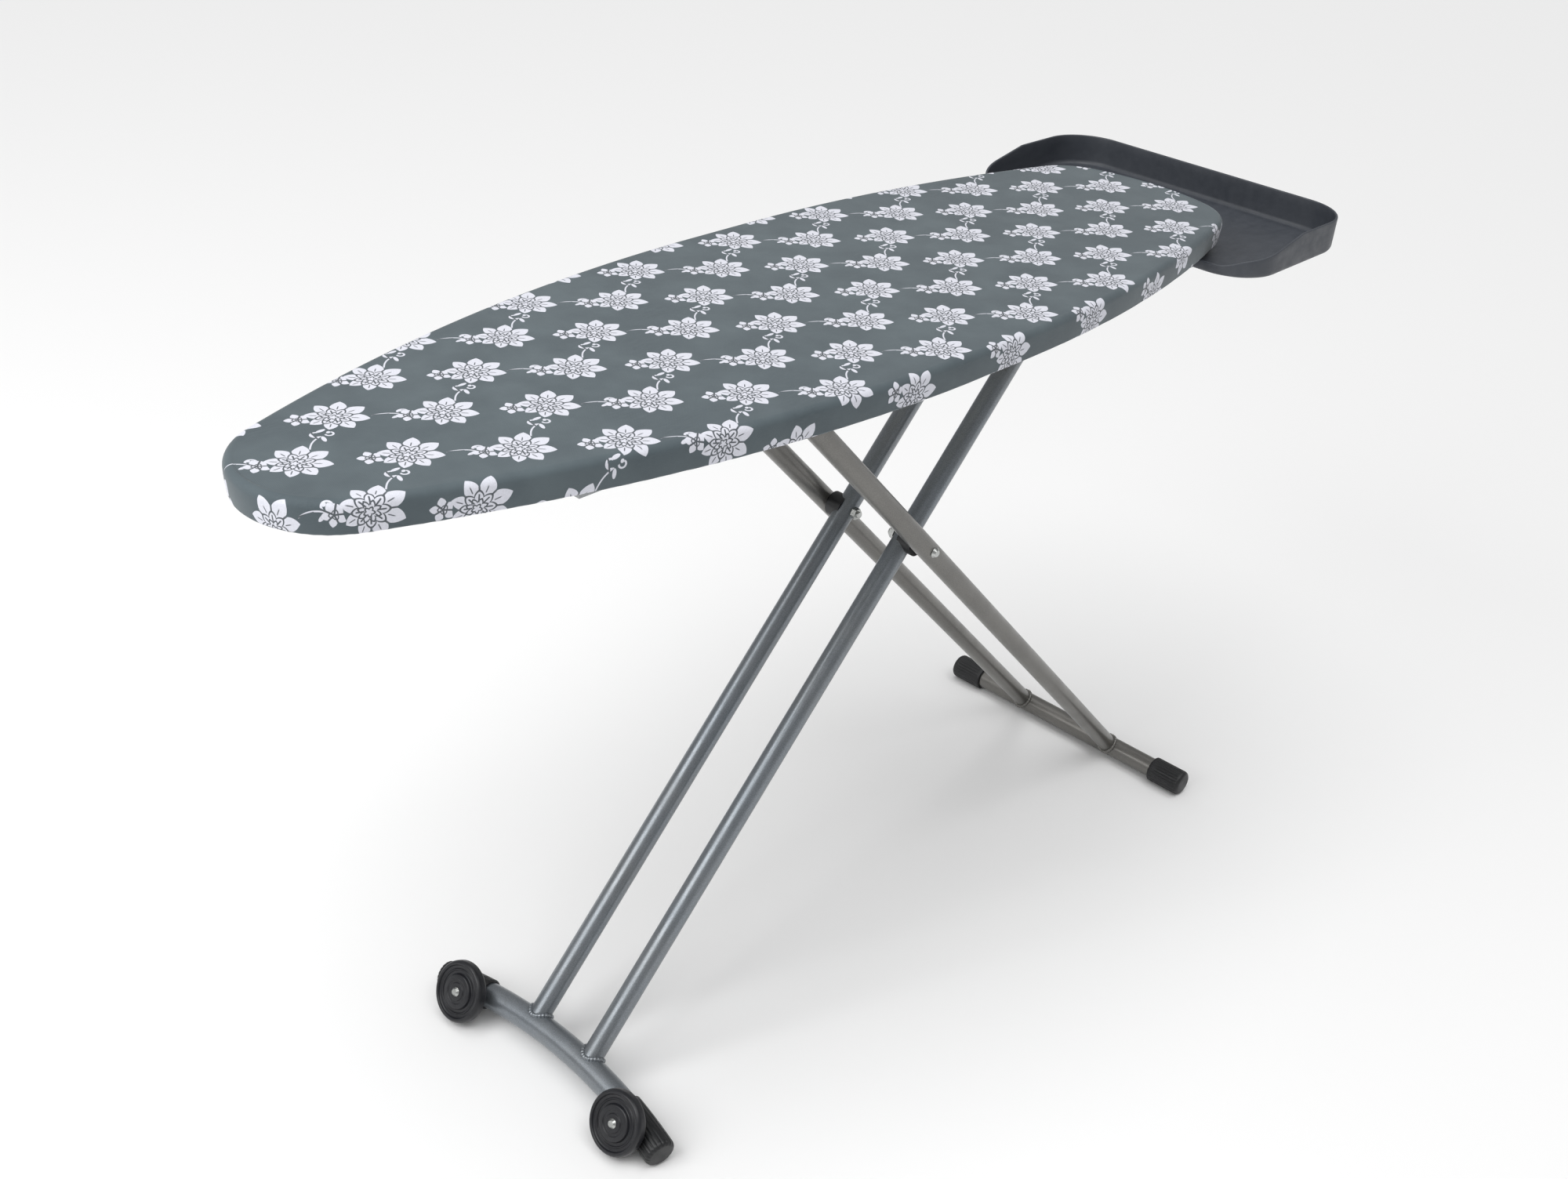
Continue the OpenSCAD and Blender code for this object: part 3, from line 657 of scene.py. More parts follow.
    def vine(self, second: Place) -> Scalar:
        """Thin stems with curls, one that comes to a flower of the second kind and one that leaves it.

        Args:
            second: The point from the nearest flower of the second kind.

        Returns:
            The mask of the stems, their curls, leaves and bracts.
        """
        right = second.x.math("GREATER_THAN", 0.0)
        ahead = second.shifted(22.0, 12.5).turned(33.1)
        back = second.shifted(-50.0, 33.0).turned(-35.0)
        place = Place(back.x + (ahead.x - back.x) * right, back.y + (ahead.y - back.y) * right)
        bend = (place.x * (math.pi / 26.0)).math("SINE") * 2.6
        stem = place.y.near_to(bend, 0.75, self.soft) * place.x.near_to(12.0, 12.5, self.soft)
        curl = place.shifted(25.5, 5.2)
        hook = curl.radius().near_to(4.4, 0.95, self.soft) * (curl.x * 0.7 - curl.y).below(2.2, 1.0)
        under = place.shifted(31.0, -4.2)
        loop = under.radius().near_to(3.4, 0.9, self.soft) * (under.y + under.x * 0.4).below(1.8, 1.0)
        knob = curl.shifted(-2.3, 1.8).oval(2.0, 1.7)
        tip = under.shifted(2.2, 1.8).oval(2.0, 1.6)
        leaf = place.shifted(20.5, -3.8).turned(38).oval(5.0, 1.9)
        bract = place.shifted(33.5, 4.4).turned(-30).oval(4.6, 1.9)
        shape = stem.either(hook).either(loop).either(knob).either(tip)
        return shape.either(leaf).either(bract)

    def masks(self, place: Place) -> tuple[Scalar, Scalar]:
        """The whole print.

        Args:
            place: The point on the flat cloth.

        Returns:
            The mask of the print and the mask of the drawing lines in it.
        """
        nearest, second = self.nearest(place.shifted(self.start_x, self.start_y).turned(self.turn))
        printed, lines = self.flower(nearest)
        return printed.either(self.vine(second) * printed.flipped()), lines


@dataclass(frozen=True)
class PrintedCotton:
    """Plain-woven cotton, reactive dyed grey-green and pigment printed: matt, with a soft silvery sheen."""

    name: str
    ground: str = "49545a"
    pale: str = "5c686d"
    print_white: str = "e3e4ee"
    print_line: str = "3d444a"
    gap: str = "4b5352"
    gap_share: float = 0.12
    thread: float = 1.3
    thread_depth: float = 0.1
    cloud_size: float = 55.0
    slub_size: float = 2.2
    ink_grain: float = 1.6
    thin_ink: float = 0.9
    line_cover: float = 0.95
    pucker_size: float = 34.0
    pucker_depth: float = 0.5
    pattern: FloralPrint = FloralPrint()

    def build(self) -> bpy.types.Material:
        """Makes the material.

        Returns:
            The material.
        """
        material, tree = new_material(self.name)
        cut = add_node(tree, "ShaderNodeAttribute", {"attribute_name": "cut"}).outputs["Vector"]
        axes = add_node(tree, "ShaderNodeSeparateXYZ", inputs={0: cut})
        place = Place(Scalar(tree, axes.outputs[0]) * 1000.0, Scalar(tree, axes.outputs[1]) * 1000.0)
        printed, lines = self.pattern.masks(place)
        # The real threads are 0.4 mm apart; they are drawn coarser so that they show.
        warp = (place.x * (math.tau / self.thread)).math("SINE")
        weft = (place.y * (math.tau / self.thread)).math("SINE")
        weave = (warp * weft) * 0.5 + 0.5
        cloud = mottle(tree, self.cloud_size, 0.0, 0.75, 4.0)
        slub = mottle(tree, self.slub_size, 0.0, 0.35, 3.0, (5, 1, 1))
        patchy = mottle(tree, self.ink_grain, self.thin_ink, 1.0, 2.0)
        dyes = {0: cloud.either(slub), FIRST: linear(self.ground), SECOND: linear(self.pale)}
        ground = add_node(tree, *COLOUR_MIX, dyes).outputs[MIXED]
        inks = {0: lines * self.line_cover, FIRST: linear(self.print_white), SECOND: linear(self.print_line)}
        ink = add_node(tree, *COLOUR_MIX, inks).outputs[MIXED]
        inked = {0: printed * patchy, FIRST: ground, SECOND: ink}
        cloth = add_node(tree, *COLOUR_MIX, inked).outputs[MIXED]
        gaps = {0: weave * self.gap_share, FIRST: cloth, SECOND: linear(self.gap)}
        pucker = clouds(tree, self.pucker_size)
        soft = {"Height": pucker, "Distance": self.pucker_depth * MM, "Strength": 1.0}
        under = add_node(tree, "ShaderNodeBump", inputs=soft).outputs[0]
        threads = {"Height": weave, "Distance": self.thread_depth * MM, "Strength": 1.0, "Normal": under}
        sockets = {
            "Base Color": add_node(tree, *COLOUR_MIX, gaps).outputs[MIXED],
            "Roughness": 0.72,
            "Normal": add_node(tree, "ShaderNodeBump", inputs=threads).outputs[0],
            "Sheen Weight": 0.25,
            "Sheen Roughness": 0.4,
            "IOR": 1.45,
        }
        return surfaced(material, sockets)


FINISHES = {
    Slot.COVER: PrintedCotton("printed_cotton"),
    Slot.ELASTIC: BraidedElastic("braided_elastic"),
    Slot.FELT: NeedledFelt("needled_felt"),
    Slot.MESH: PowderCoat("mesh_powder_coat", "a6a9ab", "c3c5c6", 0.42, 0.55),
    Slot.FRAME: PowderCoat("frame_powder_coat", "8f9396", "b3b6b8", 0.38, 0.65),
    Slot.WHEEL_LEG: PowderCoat("blue_grey_powder_coat", "6f757b", "9aa1a8"),
    Slot.FOOT_LEG: PowderCoat("warm_grey_powder_coat", "62615e", "8a8884"),
    Slot.ZINC: ZincPlate("bright_zinc_plate"),
    Slot.SPRING: ZincPlate("oiled_spring_steel", "6d6d6c", "4c4b49", 0.38),
    Slot.LEVER: PowderCoat("lever_powder_coat", "2f3133", "54575a", 0.4, 0.4),
    Slot.BLACK: MouldedPlastic("black_polypropylene", "101113", "232426"),
    Slot.WHEEL: MouldedPlastic("wheel_polypropylene", "121317", "26272c", 0.38),
    Slot.TRAY: MouldedPlastic("tray_abs", "3a3e45", "4a4e55", 0.46, 0.8, 0.06, 1.53),
    Slot.NYLON: MouldedPlastic("natural_nylon", "d9d6c9", "c4c1b4", 0.4, 0.6, 0.03, 1.53),
}


class Paintshop:
    """Makes each material once and puts it on pieces."""

    def __init__(self) -> None:
        """Starts with no material made."""
        self.made: dict[Slot, bpy.types.Material] = {}

    def material(self, slot: Slot) -> bpy.types.Material:
        """Finds the material of a slot, and makes it at its first use.

        Args:
            slot: The slot.

        Returns:
            The material.
        """
        if slot not in self.made:
            self.made[slot] = FINISHES[slot].build()
        return self.made[slot]

    def dress(self, piece: bpy.types.Object, slot: Slot) -> bpy.types.Object:
        """Gives a piece the finish of a slot.

        Args:
            piece: The piece.
            slot: The slot.

        Returns:
            The piece.
        """
        piece.data.materials.clear()
        piece.data.materials.append(self.material(slot))
        return piece

    def dress_nodes(self, slot: Slot, *names: str) -> None:
        """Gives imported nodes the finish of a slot.

        Args:
            slot: The slot.
            names: The nodes.
        """
        for name in names:
            self.dress(frame["nodes"][name], slot)
            log.info("dressed %s as %s", name, slot.value)

    def place(self, piece: bpy.types.Object, body: Body, slot: Slot, *stands_for: str) -> bpy.types.Object:
        """Dresses a new piece and fixes it to its body.

        Args:
            piece: The piece, in place.
            body: The body that it moves with.
            slot: The slot that it takes its finish from.
            stands_for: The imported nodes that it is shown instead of.

        Returns:
            The piece.
        """
        self.dress(piece, slot)
        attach(piece, body.value)
        if stands_for:
            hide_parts(*stands_for)
        log.info("placed %s on %s", piece.name, body.value)
        return piece


# ---- Mesh helpers ----


def new_piece(
    name: str, points: Sequence[Sequence[float]], faces: Sequence[Sequence[int]]
) -> bpy.types.Object:
    """Makes a smooth-shaded mesh object at the origin.

    Args:
        name: The piece's name.
        points: Its vertices, in the part's frame.
        faces: Its faces, as vertex numbers.

    Returns:
        The object, linked to the scene.
    """
    mesh = bpy.data.meshes.new(name)
    vertices = [tuple(float(c) for c in point) for point in points]
    mesh.from_pydata(vertices, [], [tuple(int(i) for i in face) for face in faces])
    mesh.validate()
    mesh.shade_smooth()
    piece = bpy.data.objects.new(name, mesh)
    bpy.context.scene.collection.objects.link(piece)
    return piece


def ring_faces(rings: int, around: int, first: int = 0) -> list[tuple[int, int, int, int]]:
    """Faces between closed rings of vertices that follow one another.

    Args:
        rings: Number of rings.
        around: Vertices in each ring.
        first: Number of the first vertex.

    Returns:
        The faces.
    """
    faces = []
    for i in range(rings - 1):
        for j in range(around):
            k = (j + 1) % around
            a = first + i * around
            faces.append((a + j, a + k, a + around + k, a + around + j))
    return faces


def axes_about(direction: Vector) -> tuple[Vector, Vector, Vector]:
    """Finds two axes across a direction.

    Args:
        direction: The direction, of any length.

    Returns:
        The two axes and the direction itself, as unit vectors.
    """
    w = direction.normalized()
    u = w.cross(Vector((0, 0, 1)) if abs(w.z) < 0.9 else Vector((0, 1, 0))).normalized()
    return u, w.cross(u), w


def turned(
    profile: Sequence[tuple[float, float]],
    origin: Vector,
    axis: Vector,
    around: int,
    flute: Callable[[float, float, float], float] | None = None,
) -> list[Vector]:
    """Rings of points that a profile leaves as it turns round an axis.

    Args:
        profile: Radius and height of each point of the profile.
        origin: The point on the axis at height 0.
        axis: The axis's direction.
        around: Number of points round the axis.
        flute: Depth to cut at an angle, a radius and a height.

    Returns:
        The points, ring by ring.
    """
    u, v, w = axes_about(axis)
    points = []
    for radius, height in profile:
        for j in range(around):
            turn = math.tau * j / around
            r = radius - (flute(turn, radius, height) if flute else 0.0)
            points.append(origin + w * height + (u * math.cos(turn) + v * math.sin(turn)) * r)
    return points


def joint_line(name: str) -> tuple[Vector, Vector]:
    """Finds the line that a packed joint turns about.

    Args:
        name: The joint's name.

    Returns:
        The joint's place, and its axis as a unit vector.
    """
    joint = next(j for j in frame["joints"] if j["name"] == name)
    return Vector(joint["pos_m"]), Vector(joint["axis"]).normalized()


def rounded(corners: Sequence[tuple[float, float, float]], steps: int = 5) -> list[tuple[float, float]]:
    """Rounds the corners of an open profile.

    Args:
        corners: Each corner's two coordinates and its radius.
        steps: Number of steps in each rounding.

    Returns:
        The points of the rounded profile.
    """
    out: list[tuple[float, float]] = []
    for i, (x, y, radius) in enumerate(corners):
        here = Vector((x, y))
        if radius <= 0 or i in (0, len(corners) - 1):
            out.append((x, y))
            continue
        back = Vector(corners[i - 1][:2]) - here
        ahead = Vector(corners[i + 1][:2]) - here
        cut = min(radius, back.length * 0.49, ahead.length * 0.49)
        start, end = here + back.normalized() * cut, here + ahead.normalized() * cut
        for k in range(steps + 1):
            t = k / steps
            p = start * (1 - t) ** 2 + here * (2 * t * (1 - t)) + end * t**2
            out.append((p.x, p.y))
    return out


# ---- The padded top ----


@dataclass
class Outline:
    """Plan of the padded top: a run of arcs from the nose to the tail, the same on both sides."""

    nose_radius: float = 0.089
    widest_from: float = 0.680
    widest_run: float = 0.080
    tail_width: float = 0.271
    corner_radius: float = 0.075
    end_radius: float = 0.280

    def __post_init__(self) -> None:
        """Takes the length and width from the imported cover, and works out the arcs."""
        low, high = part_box("cover")
        self.nose_x = low.x
        self.length = high.x - low.x
        self.half_width = (high.y - low.y) / 2
        self.widest_to = self.widest_from + self.widest_run
        self.corner_y = self.tail_width / 2 - self.corner_radius
        self.end_centre = self.length - self.end_radius
        across = self.end_radius - self.corner_radius
        self.corner_x = self.end_centre + math.sqrt(across**2 - self.corner_y**2)
        half, nose, corner = self.half_width, self.nose_radius, self.corner_radius
        run = self.widest_from - nose
        self.front_radius = (run**2 + half**2 - nose**2) / (2 * (half - nose))
        back = self.corner_x - self.widest_to
        rise = half - self.corner_y
        self.back_radius = (back**2 + rise**2 - corner**2) / (2 * (rise - corner))
        self.nose_turn = math.pi / 2 + math.asin(run / (self.front_radius - nose))
        self.back_turn = math.pi / 2 - math.asin(back / (self.back_radius - corner))
        self.end_turn = math.asin(self.corner_y / across)

    def half(self, steps: Sequence[int] = (40, 110, 14, 90, 36, 18)) -> tuple[np.ndarray, np.ndarray]:
        """Far half of the outline.

        Args:
            steps: Number of steps in the nose, front, straight, back, corner and end stretches.

        Returns:
            Points from the nose to the tail, and the outward direction at each.
        """
        nose, front, straight, back, corner, end = steps
        half, crest = self.half_width, math.pi / 2
        front_centre = (self.widest_from, half - self.front_radius)
        back_centre = (self.widest_to, half - self.back_radius)
        arcs = (
            ((self.nose_radius, 0.0), self.nose_radius, math.pi, self.nose_turn, nose),
            (front_centre, self.front_radius, self.nose_turn, crest, front),
            (back_centre, self.back_radius, crest, self.back_turn, back),
            ((self.corner_x, self.corner_y), self.corner_radius, self.back_turn, self.end_turn, corner),
            ((self.end_centre, 0.0), self.end_radius, self.end_turn, 0.0, end),
        )
        points: list[tuple[float, float]] = []
        normals: list[tuple[float, float]] = []
        for index, (centre, radius, a0, a1, count) in enumerate(arcs):
            for i in range(count + 1 if index == 0 else count):
                share = (i if index == 0 else i + 1) / count
                turn = a0 + (a1 - a0) * share
                direction = (math.cos(turn), math.sin(turn))
                x = self.nose_x + centre[0] + radius * direction[0]
                points.append((x, centre[1] + radius * direction[1]))
                normals.append(direction)
            if index == 1:
                for i in range(1, straight + 1):
                    points.append((self.nose_x + self.widest_from + self.widest_run * i / straight, half))
                    normals.append((0.0, 1.0))
        return np.array(points), np.array(normals)

    def loop(self) -> tuple[np.ndarray, np.ndarray]:
        """The whole outline, from the nose along the far side to the tail and back along the near side.

        Returns:
            Points and outward directions.
        """
        points, normals = self.half()
        flip = np.array((1.0, -1.0))
        back = slice(-2, 0, -1)
        return np.vstack([points, points[back] * flip]), np.vstack([normals, normals[back] * flip])

    def contains(self, x: float, y: float, inset: float) -> bool:
        """Tests whether a point lies well inside the outline.

        Args:
            x: The point's place along the board.
            y: Its place across the board.
            inset: The least distance inside the outline.

        Returns:
            True if it does.
        """
        points, normals = self.half()
        near = int(np.argmin(np.hypot(points[:, 0] - x, points[:, 1] - abs(y))))
        return float((np.array((x, abs(y))) - points[near]) @ normals[near]) < -inset


@dataclass
class Sheet:
    """A closed outline with a profile that runs outward and down from a level middle."""

    outline: Outline
    lanes: int = 40

    def build(
        self,
        name: str,
        profile: Sequence[tuple[float, float]],
        middle: Callable[[np.ndarray, np.ndarray], np.ndarray],
    ) -> tuple[bpy.types.Object, np.ndarray]:
        """Makes the middle and the rings round it.

        Args:
            name: The piece's name.
            profile: Inset from the outline and height of each ring, from the middle's edge outward.
            middle: Height of the middle at plan coordinates x and y.

        Returns:
            The piece, and its vertices' places on the flat cloth.
        """
        points, normals = self.outline.loop()
        around = len(points)
        half = around // 2 + 1
        inset, height = profile[0]
        edge = points - normals * inset
        vertices = [(x, y, height) for x, y in edge]
        flat = [tuple(p) for p in edge]
        faces: list[tuple[int, ...]] = []
        rows: list[list[int]] = []
        for i in range(half):
            if i in (0, half - 1):
                rows.append([i] * (self.lanes + 1))
                continue
            far, near = i, around - i
            row = [far]
            for j in range(1, self.lanes):
                t = j / self.lanes
                x, y = edge[far] * (1 - t) + edge[near] * t
                row.append(len(vertices))
                vertices.append((x, y, height))
                flat.append((x, y))
            rows.append([*row, near])
        for a, b in zip(rows, rows[1:]):
            for j in range(self.lanes):
                ring = list(dict.fromkeys((a[j], b[j], b[j + 1], a[j + 1])))
                faces.append(tuple(reversed(ring)))
        grid = np.array(vertices)
        edge_share = np.ones(len(grid))
        edge_share[:around] = 0.0
        grid[:, 2] += middle(grid[:, 0], grid[:, 1]) * edge_share
        rings = [grid]
        flats = [np.array(flat)]
        travelled = 0.0
        before = profile[0]
        start = list(range(around))
        for step, (ring_inset, ring_height) in enumerate(profile[1:]):
            travelled += math.hypot(ring_inset - before[0], ring_height - before[1])
            before = (ring_inset, ring_height)
            place = points - normals * ring_inset
            rings.append(np.column_stack([place, np.full(around, ring_height)]))
            flats.append(edge + normals * travelled)
            first = len(grid) + step * around
            ahead = list(range(first, first + around))
            for j in range(around):
                k = (j + 1) % around
                faces.append((start[j], start[k], ahead[k], ahead[j]))
            start = ahead
        piece = new_piece(name, np.vstack(rings), faces)
        return piece, np.vstack(flats)


@dataclass
class PaddedTop:
    """Printed cover, its hem and stitching, the felt under it and the steel mesh that carries both."""

    paint: Paintshop
    outline: Outline
    edge_radius: float = 0.0075
    hem_radius: float = 0.003
    hem_width: float = 0.026
    cloth: float = 0.0008
    tuck: float = 0.0016
    felt_gap: float = 0.0004
    unevenness: float = 0.00025
    side_wave: float = 0.0001
    hem_wave: float = 0.00015
    stitch: float = 0.0042
    stitch_inset: float = 0.006
    stitch_width: float = 0.00035
    stitch_rise: float = 0.0003
    stitch_bulge: float = 0.0006
    diamond_length: float = 0.022
    diamond_width: float = 0.0105
    strand: float = 0.0021
    strand_thickness: float = 0.0006
    strand_tilt: float = 0.00018
    mesh_inset: float = 0.013

    def sides(self, inset: float, top: float, radius: float, bottom: float) -> list[tuple[float, float]]:
        """Rounded edge and side of a layer.

        Args:
            inset: Distance inside the outline.
            top: Height of its top.
            radius: Radius of its upper edge.
            bottom: Height where its side ends.

        Returns:
            Inset and height of each point, from the top down.
        """
        out = []
        for k in range(9):
            turn = math.pi / 2 * k / 8
            out.append((inset + radius * (1 - math.sin(turn)), top - radius * (1 - math.cos(turn))))
        drop = out[-1][1] - bottom
        out += [(inset + self.tuck * t * t, out[-1][1] - drop * t) for t in (0.2, 0.4, 0.6, 0.8, 1.0)]
        return out

    def surface(self, x: np.ndarray, y: np.ndarray) -> np.ndarray:
        """Slight unevenness of the felt, never above the flat."""
        waves = np.sin(x * 31 + 1.3 * np.sin(y * 19)) + np.sin(y * 43 + x * 11) + np.sin(x * 67 - y * 29)
        return (waves / 3 - 1) * self.unevenness

    def build_cover(self) -> bpy.types.Object:
        """Makes the cover, as one cut sheet drawn over the edge and in under the frame.

        Returns:
            The cover.
        """
        low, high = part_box("cover")
        radius = self.hem_radius
        profile = self.sides(0.0, high.z, self.edge_radius, low.z + radius)
        for k in range(1, 6):
            turn = math.pi / 2 * k / 5
            profile.append((self.tuck + radius * (1 - math.cos(turn)), low.z + radius * (1 - math.sin(turn))))
        start = profile[-1][0]
        profile += [(start + (self.hem_width - start) * k / 5, low.z) for k in range(1, 6)]
        piece, flat = Sheet(self.outline).build("cover_cloth", profile, self.surface)
        self.gather(piece, low.z, high.z)
        cut = piece.data.attributes.new("cut", "FLOAT_VECTOR", "POINT")
        unrolled = np.column_stack([flat, np.zeros(len(flat))])
        cut.data.foreach_set("vector", unrolled.astype(np.float32).ravel())
        solid = piece.modifiers.new("cloth", "SOLIDIFY")
        solid.thickness = self.cloth
        solid.offset = -1.0
        self.paint.place(piece, Body.BOARD, Slot.COVER, "cover")
        points, _ = self.outline.loop()
        stitches = self.build_stitches(low.z)
        return piece

    def gather(self, piece: bpy.types.Object, low: float, high: float) -> None:
        """Gives the side a slight wave and the hem the small gathers that its elastic pulls in.

        Args:
            piece: The cover.
            low: Height of the hem.
            high: Height of the top.
        """
        for vertex in piece.data.vertices:
            x, y, z = vertex.co
            depth = min(1.0, max(0.0, (high - self.edge_radius - z) / (high - self.edge_radius - low)))
            if depth <= 0.0:
                continue
            phase = x * 61 + math.copysign(1, y) * 2.1 + math.atan2(y, x - self.outline.nose_x - 0.05) * 7
            wave = math.sin(phase) + 0.6 * math.sin(phase * 2.3 + 1)
            pull = self.side_wave * depth * wave
            vertex.co.y -= math.copysign(abs(pull) + pull, y) if abs(y) > 0.02 else 0.0
            if z < low + 0.0005:
                vertex.co.z -= self.hem_wave * (1 + math.sin(phase * 4.1))

    def build_stitches(self, height: float) -> bpy.types.Object:
        """Makes the row of stitches that holds the hem's channel, on its underside.

        Args:
            height: Height of the hem's underside.

        Returns:
            The stitches.
        """
        points, normals = self.outline.loop()
        line = points - normals * (self.hem_width - self.stitch_inset)
        gaps = np.hypot(*(np.roll(line, -1, axis=0) - line).T)
        travelled = np.concatenate([[0.0], np.cumsum(gaps)])
        closed = np.vstack([line, line[:1]])
        count = int(travelled[-1] / self.stitch)
        vertices: list[tuple[float, float, float]] = []
        faces: list[tuple[int, ...]] = []
        for i in range(count):
            ends = []
            for share in (i + 0.12, i + 0.5, i + 0.88):
                at = share * travelled[-1] / count
                ends.append((np.interp(at, travelled, closed[:, 0]), np.interp(at, travelled, closed[:, 1])))
            along = np.array(ends[2]) - np.array(ends[0])
            across = np.array((-along[1], along[0])) / np.hypot(*along) * self.stitch_width
            first = len(vertices)
            for (px, py), drop in zip(ends, (0.0, self.stitch_bulge, 0.0)):
                base = height - self.cloth * 0.2
                vertices.append((px + across[0], py + across[1], base))
                vertices.append((px, py, base - self.stitch_rise - drop))
                vertices.append((px - across[0], py - across[1], base))
            for k in (0, 3):
                a = first + k
                faces += [(a, a + 3, a + 4, a + 1), (a + 1, a + 4, a + 5, a + 2)]
        piece = new_piece("hem_stitches", vertices, faces)
        return self.paint.place(piece, Body.BOARD, Slot.ELASTIC)

    def build_pad(self) -> bpy.types.Object:
        """Makes the felt, as a full closed layer with a rounded edge.

        Returns:
            The felt.
        """
        low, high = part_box("pad")
        inset = self.cloth + self.felt_gap
        profile = self.sides(inset, high.z, self.edge_radius - 0.001, low.z + 0.0005)
        profile = [(a, z) for a, z in profile if z > low.z + 0.0004]
        profile += [(inset + 0.001, low.z), (0.03, low.z), (0.06, low.z)]
        piece, _ = Sheet(self.outline, 24).build("felt_pad", profile, self.surface)
        count, around = len(piece.data.vertices), len(self.outline.loop()[0])
        self.close(piece, list(range(count - around, count)))
        self.paint.place(piece, Body.BOARD, Slot.FELT, "pad")
        return piece

    def close(self, piece: bpy.types.Object, ring: list[int]) -> None:
        """Fills the last ring of a layer with strips across it.

        Args:
            piece: The layer.
            ring: The ring's vertices, in order from the nose.
        """
        points = [tuple(v.co) for v in piece.data.vertices]
        faces = [tuple(p.vertices) for p in piece.data.polygons]
        around = len(ring)
        for i in range(around // 2):
            quad = (ring[i], ring[i + 1], ring[(around - i - 1) % around], ring[(around - i) % around])
            faces.append(tuple(dict.fromkeys(quad)))
        piece.data.clear_geometry()
        piece.data.from_pydata(points, [], faces)
        piece.data.validate()
        piece.data.shade_smooth()

    def build_mesh(self) -> bpy.types.Object:
        """Makes the expanded steel mesh: slit and stretched sheet with long diamonds and tilted strands.

        Returns:
            The mesh.
        """
        low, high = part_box("top_mesh")
        length, width = self.diamond_length, self.diamond_width
        columns = int((high.x - low.x) / length) + 1
        rows = int((high.y - low.y) / width) + 1
        vertices: list[tuple[float, float, float]] = []
        faces: list[tuple[int, ...]] = []
        inset = self.mesh_inset
        for i in range(columns * 2):
            for j in range(-rows, rows + 1):
                if (i + j) % 2:
                    continue
                x, y = low.x + i * length / 2, j * width / 2
                for step in (-1, 1):
                    end = (x + length / 2, y + step * width / 2)
                    if not (self.outline.contains(x, y, inset) and self.outline.contains(*end, inset)):
                        continue
                    self.add_strand(vertices, faces, (x, y), end, low.z, step)
        piece = new_piece("expanded_mesh", vertices, faces)
        piece.data.shade_flat()
        return self.paint.place(piece, Body.BOARD, Slot.MESH, "top_mesh")

    def add_strand(
        self,
        vertices: list[tuple[float, float, float]],
        faces: list[tuple[int, ...]],
        start: tuple[float, float],
        end: tuple[float, float],
        height: float,
        lean: int,
    ) -> None:
        """Adds one strand of the mesh, a flat bar that leans a little.

        Args:
            vertices: The mesh's vertices so far.
            faces: The mesh's faces so far.
            start: Plan place of its first end.
            end: Plan place of its other end.
            height: Height of the mesh's underside.
            lean: Side that it leans to.
        """
        along = Vector((end[0] - start[0], end[1] - start[1]))
        across = Vector((-along.y, along.x)).normalized() * (self.strand / 2)
        first = len(vertices)
        for point in (start, end):
            for side in (-1, 1):
                for level in (0.0, self.strand_thickness):
                    z = height + level + self.strand_tilt * side * lean
                    vertices.append((point[0] + across.x * side, point[1] + across.y * side, z))
        quads = ((0, 2, 6, 4), (1, 5, 7, 3), (0, 4, 5, 1), (2, 3, 7, 6))
        faces.extend(tuple(first + k for k in quad) for quad in quads)

    def build(self) -> None:
        """Builds the whole padded top."""
        self.build_cover()
        self.build_pad()
        self.build_mesh()
        self.paint.dress_nodes(Slot.ELASTIC, "hem_elastic")


@dataclass
class TopFrame:
    """Rim tube, cross braces, slide rails, height racks and the fixed parts of the hinge."""

    paint: Paintshop

    def build(self) -> None:
        """Dresses the frame's nodes."""
        braces = [f"brace_{n}" for n in ("nose", "front", "mid", "waist", "hinge", "end")]
        rails = ["slide_rail_near", "slide_rail_far"]
        brackets = ["hinge_bracket_near", "hinge_bracket_far", "lever_bracket"]
        rims = ["rim_nose", "rim_side_near", "rim_side_far", "rim_tail"]
        self.paint.dress_nodes(Slot.FRAME, *rims, *braces, *rails, *brackets)
        self.paint.dress_nodes(Slot.ZINC, "height_rack_near", "height_rack_far", "hinge_rod")


# ---- The tray ----


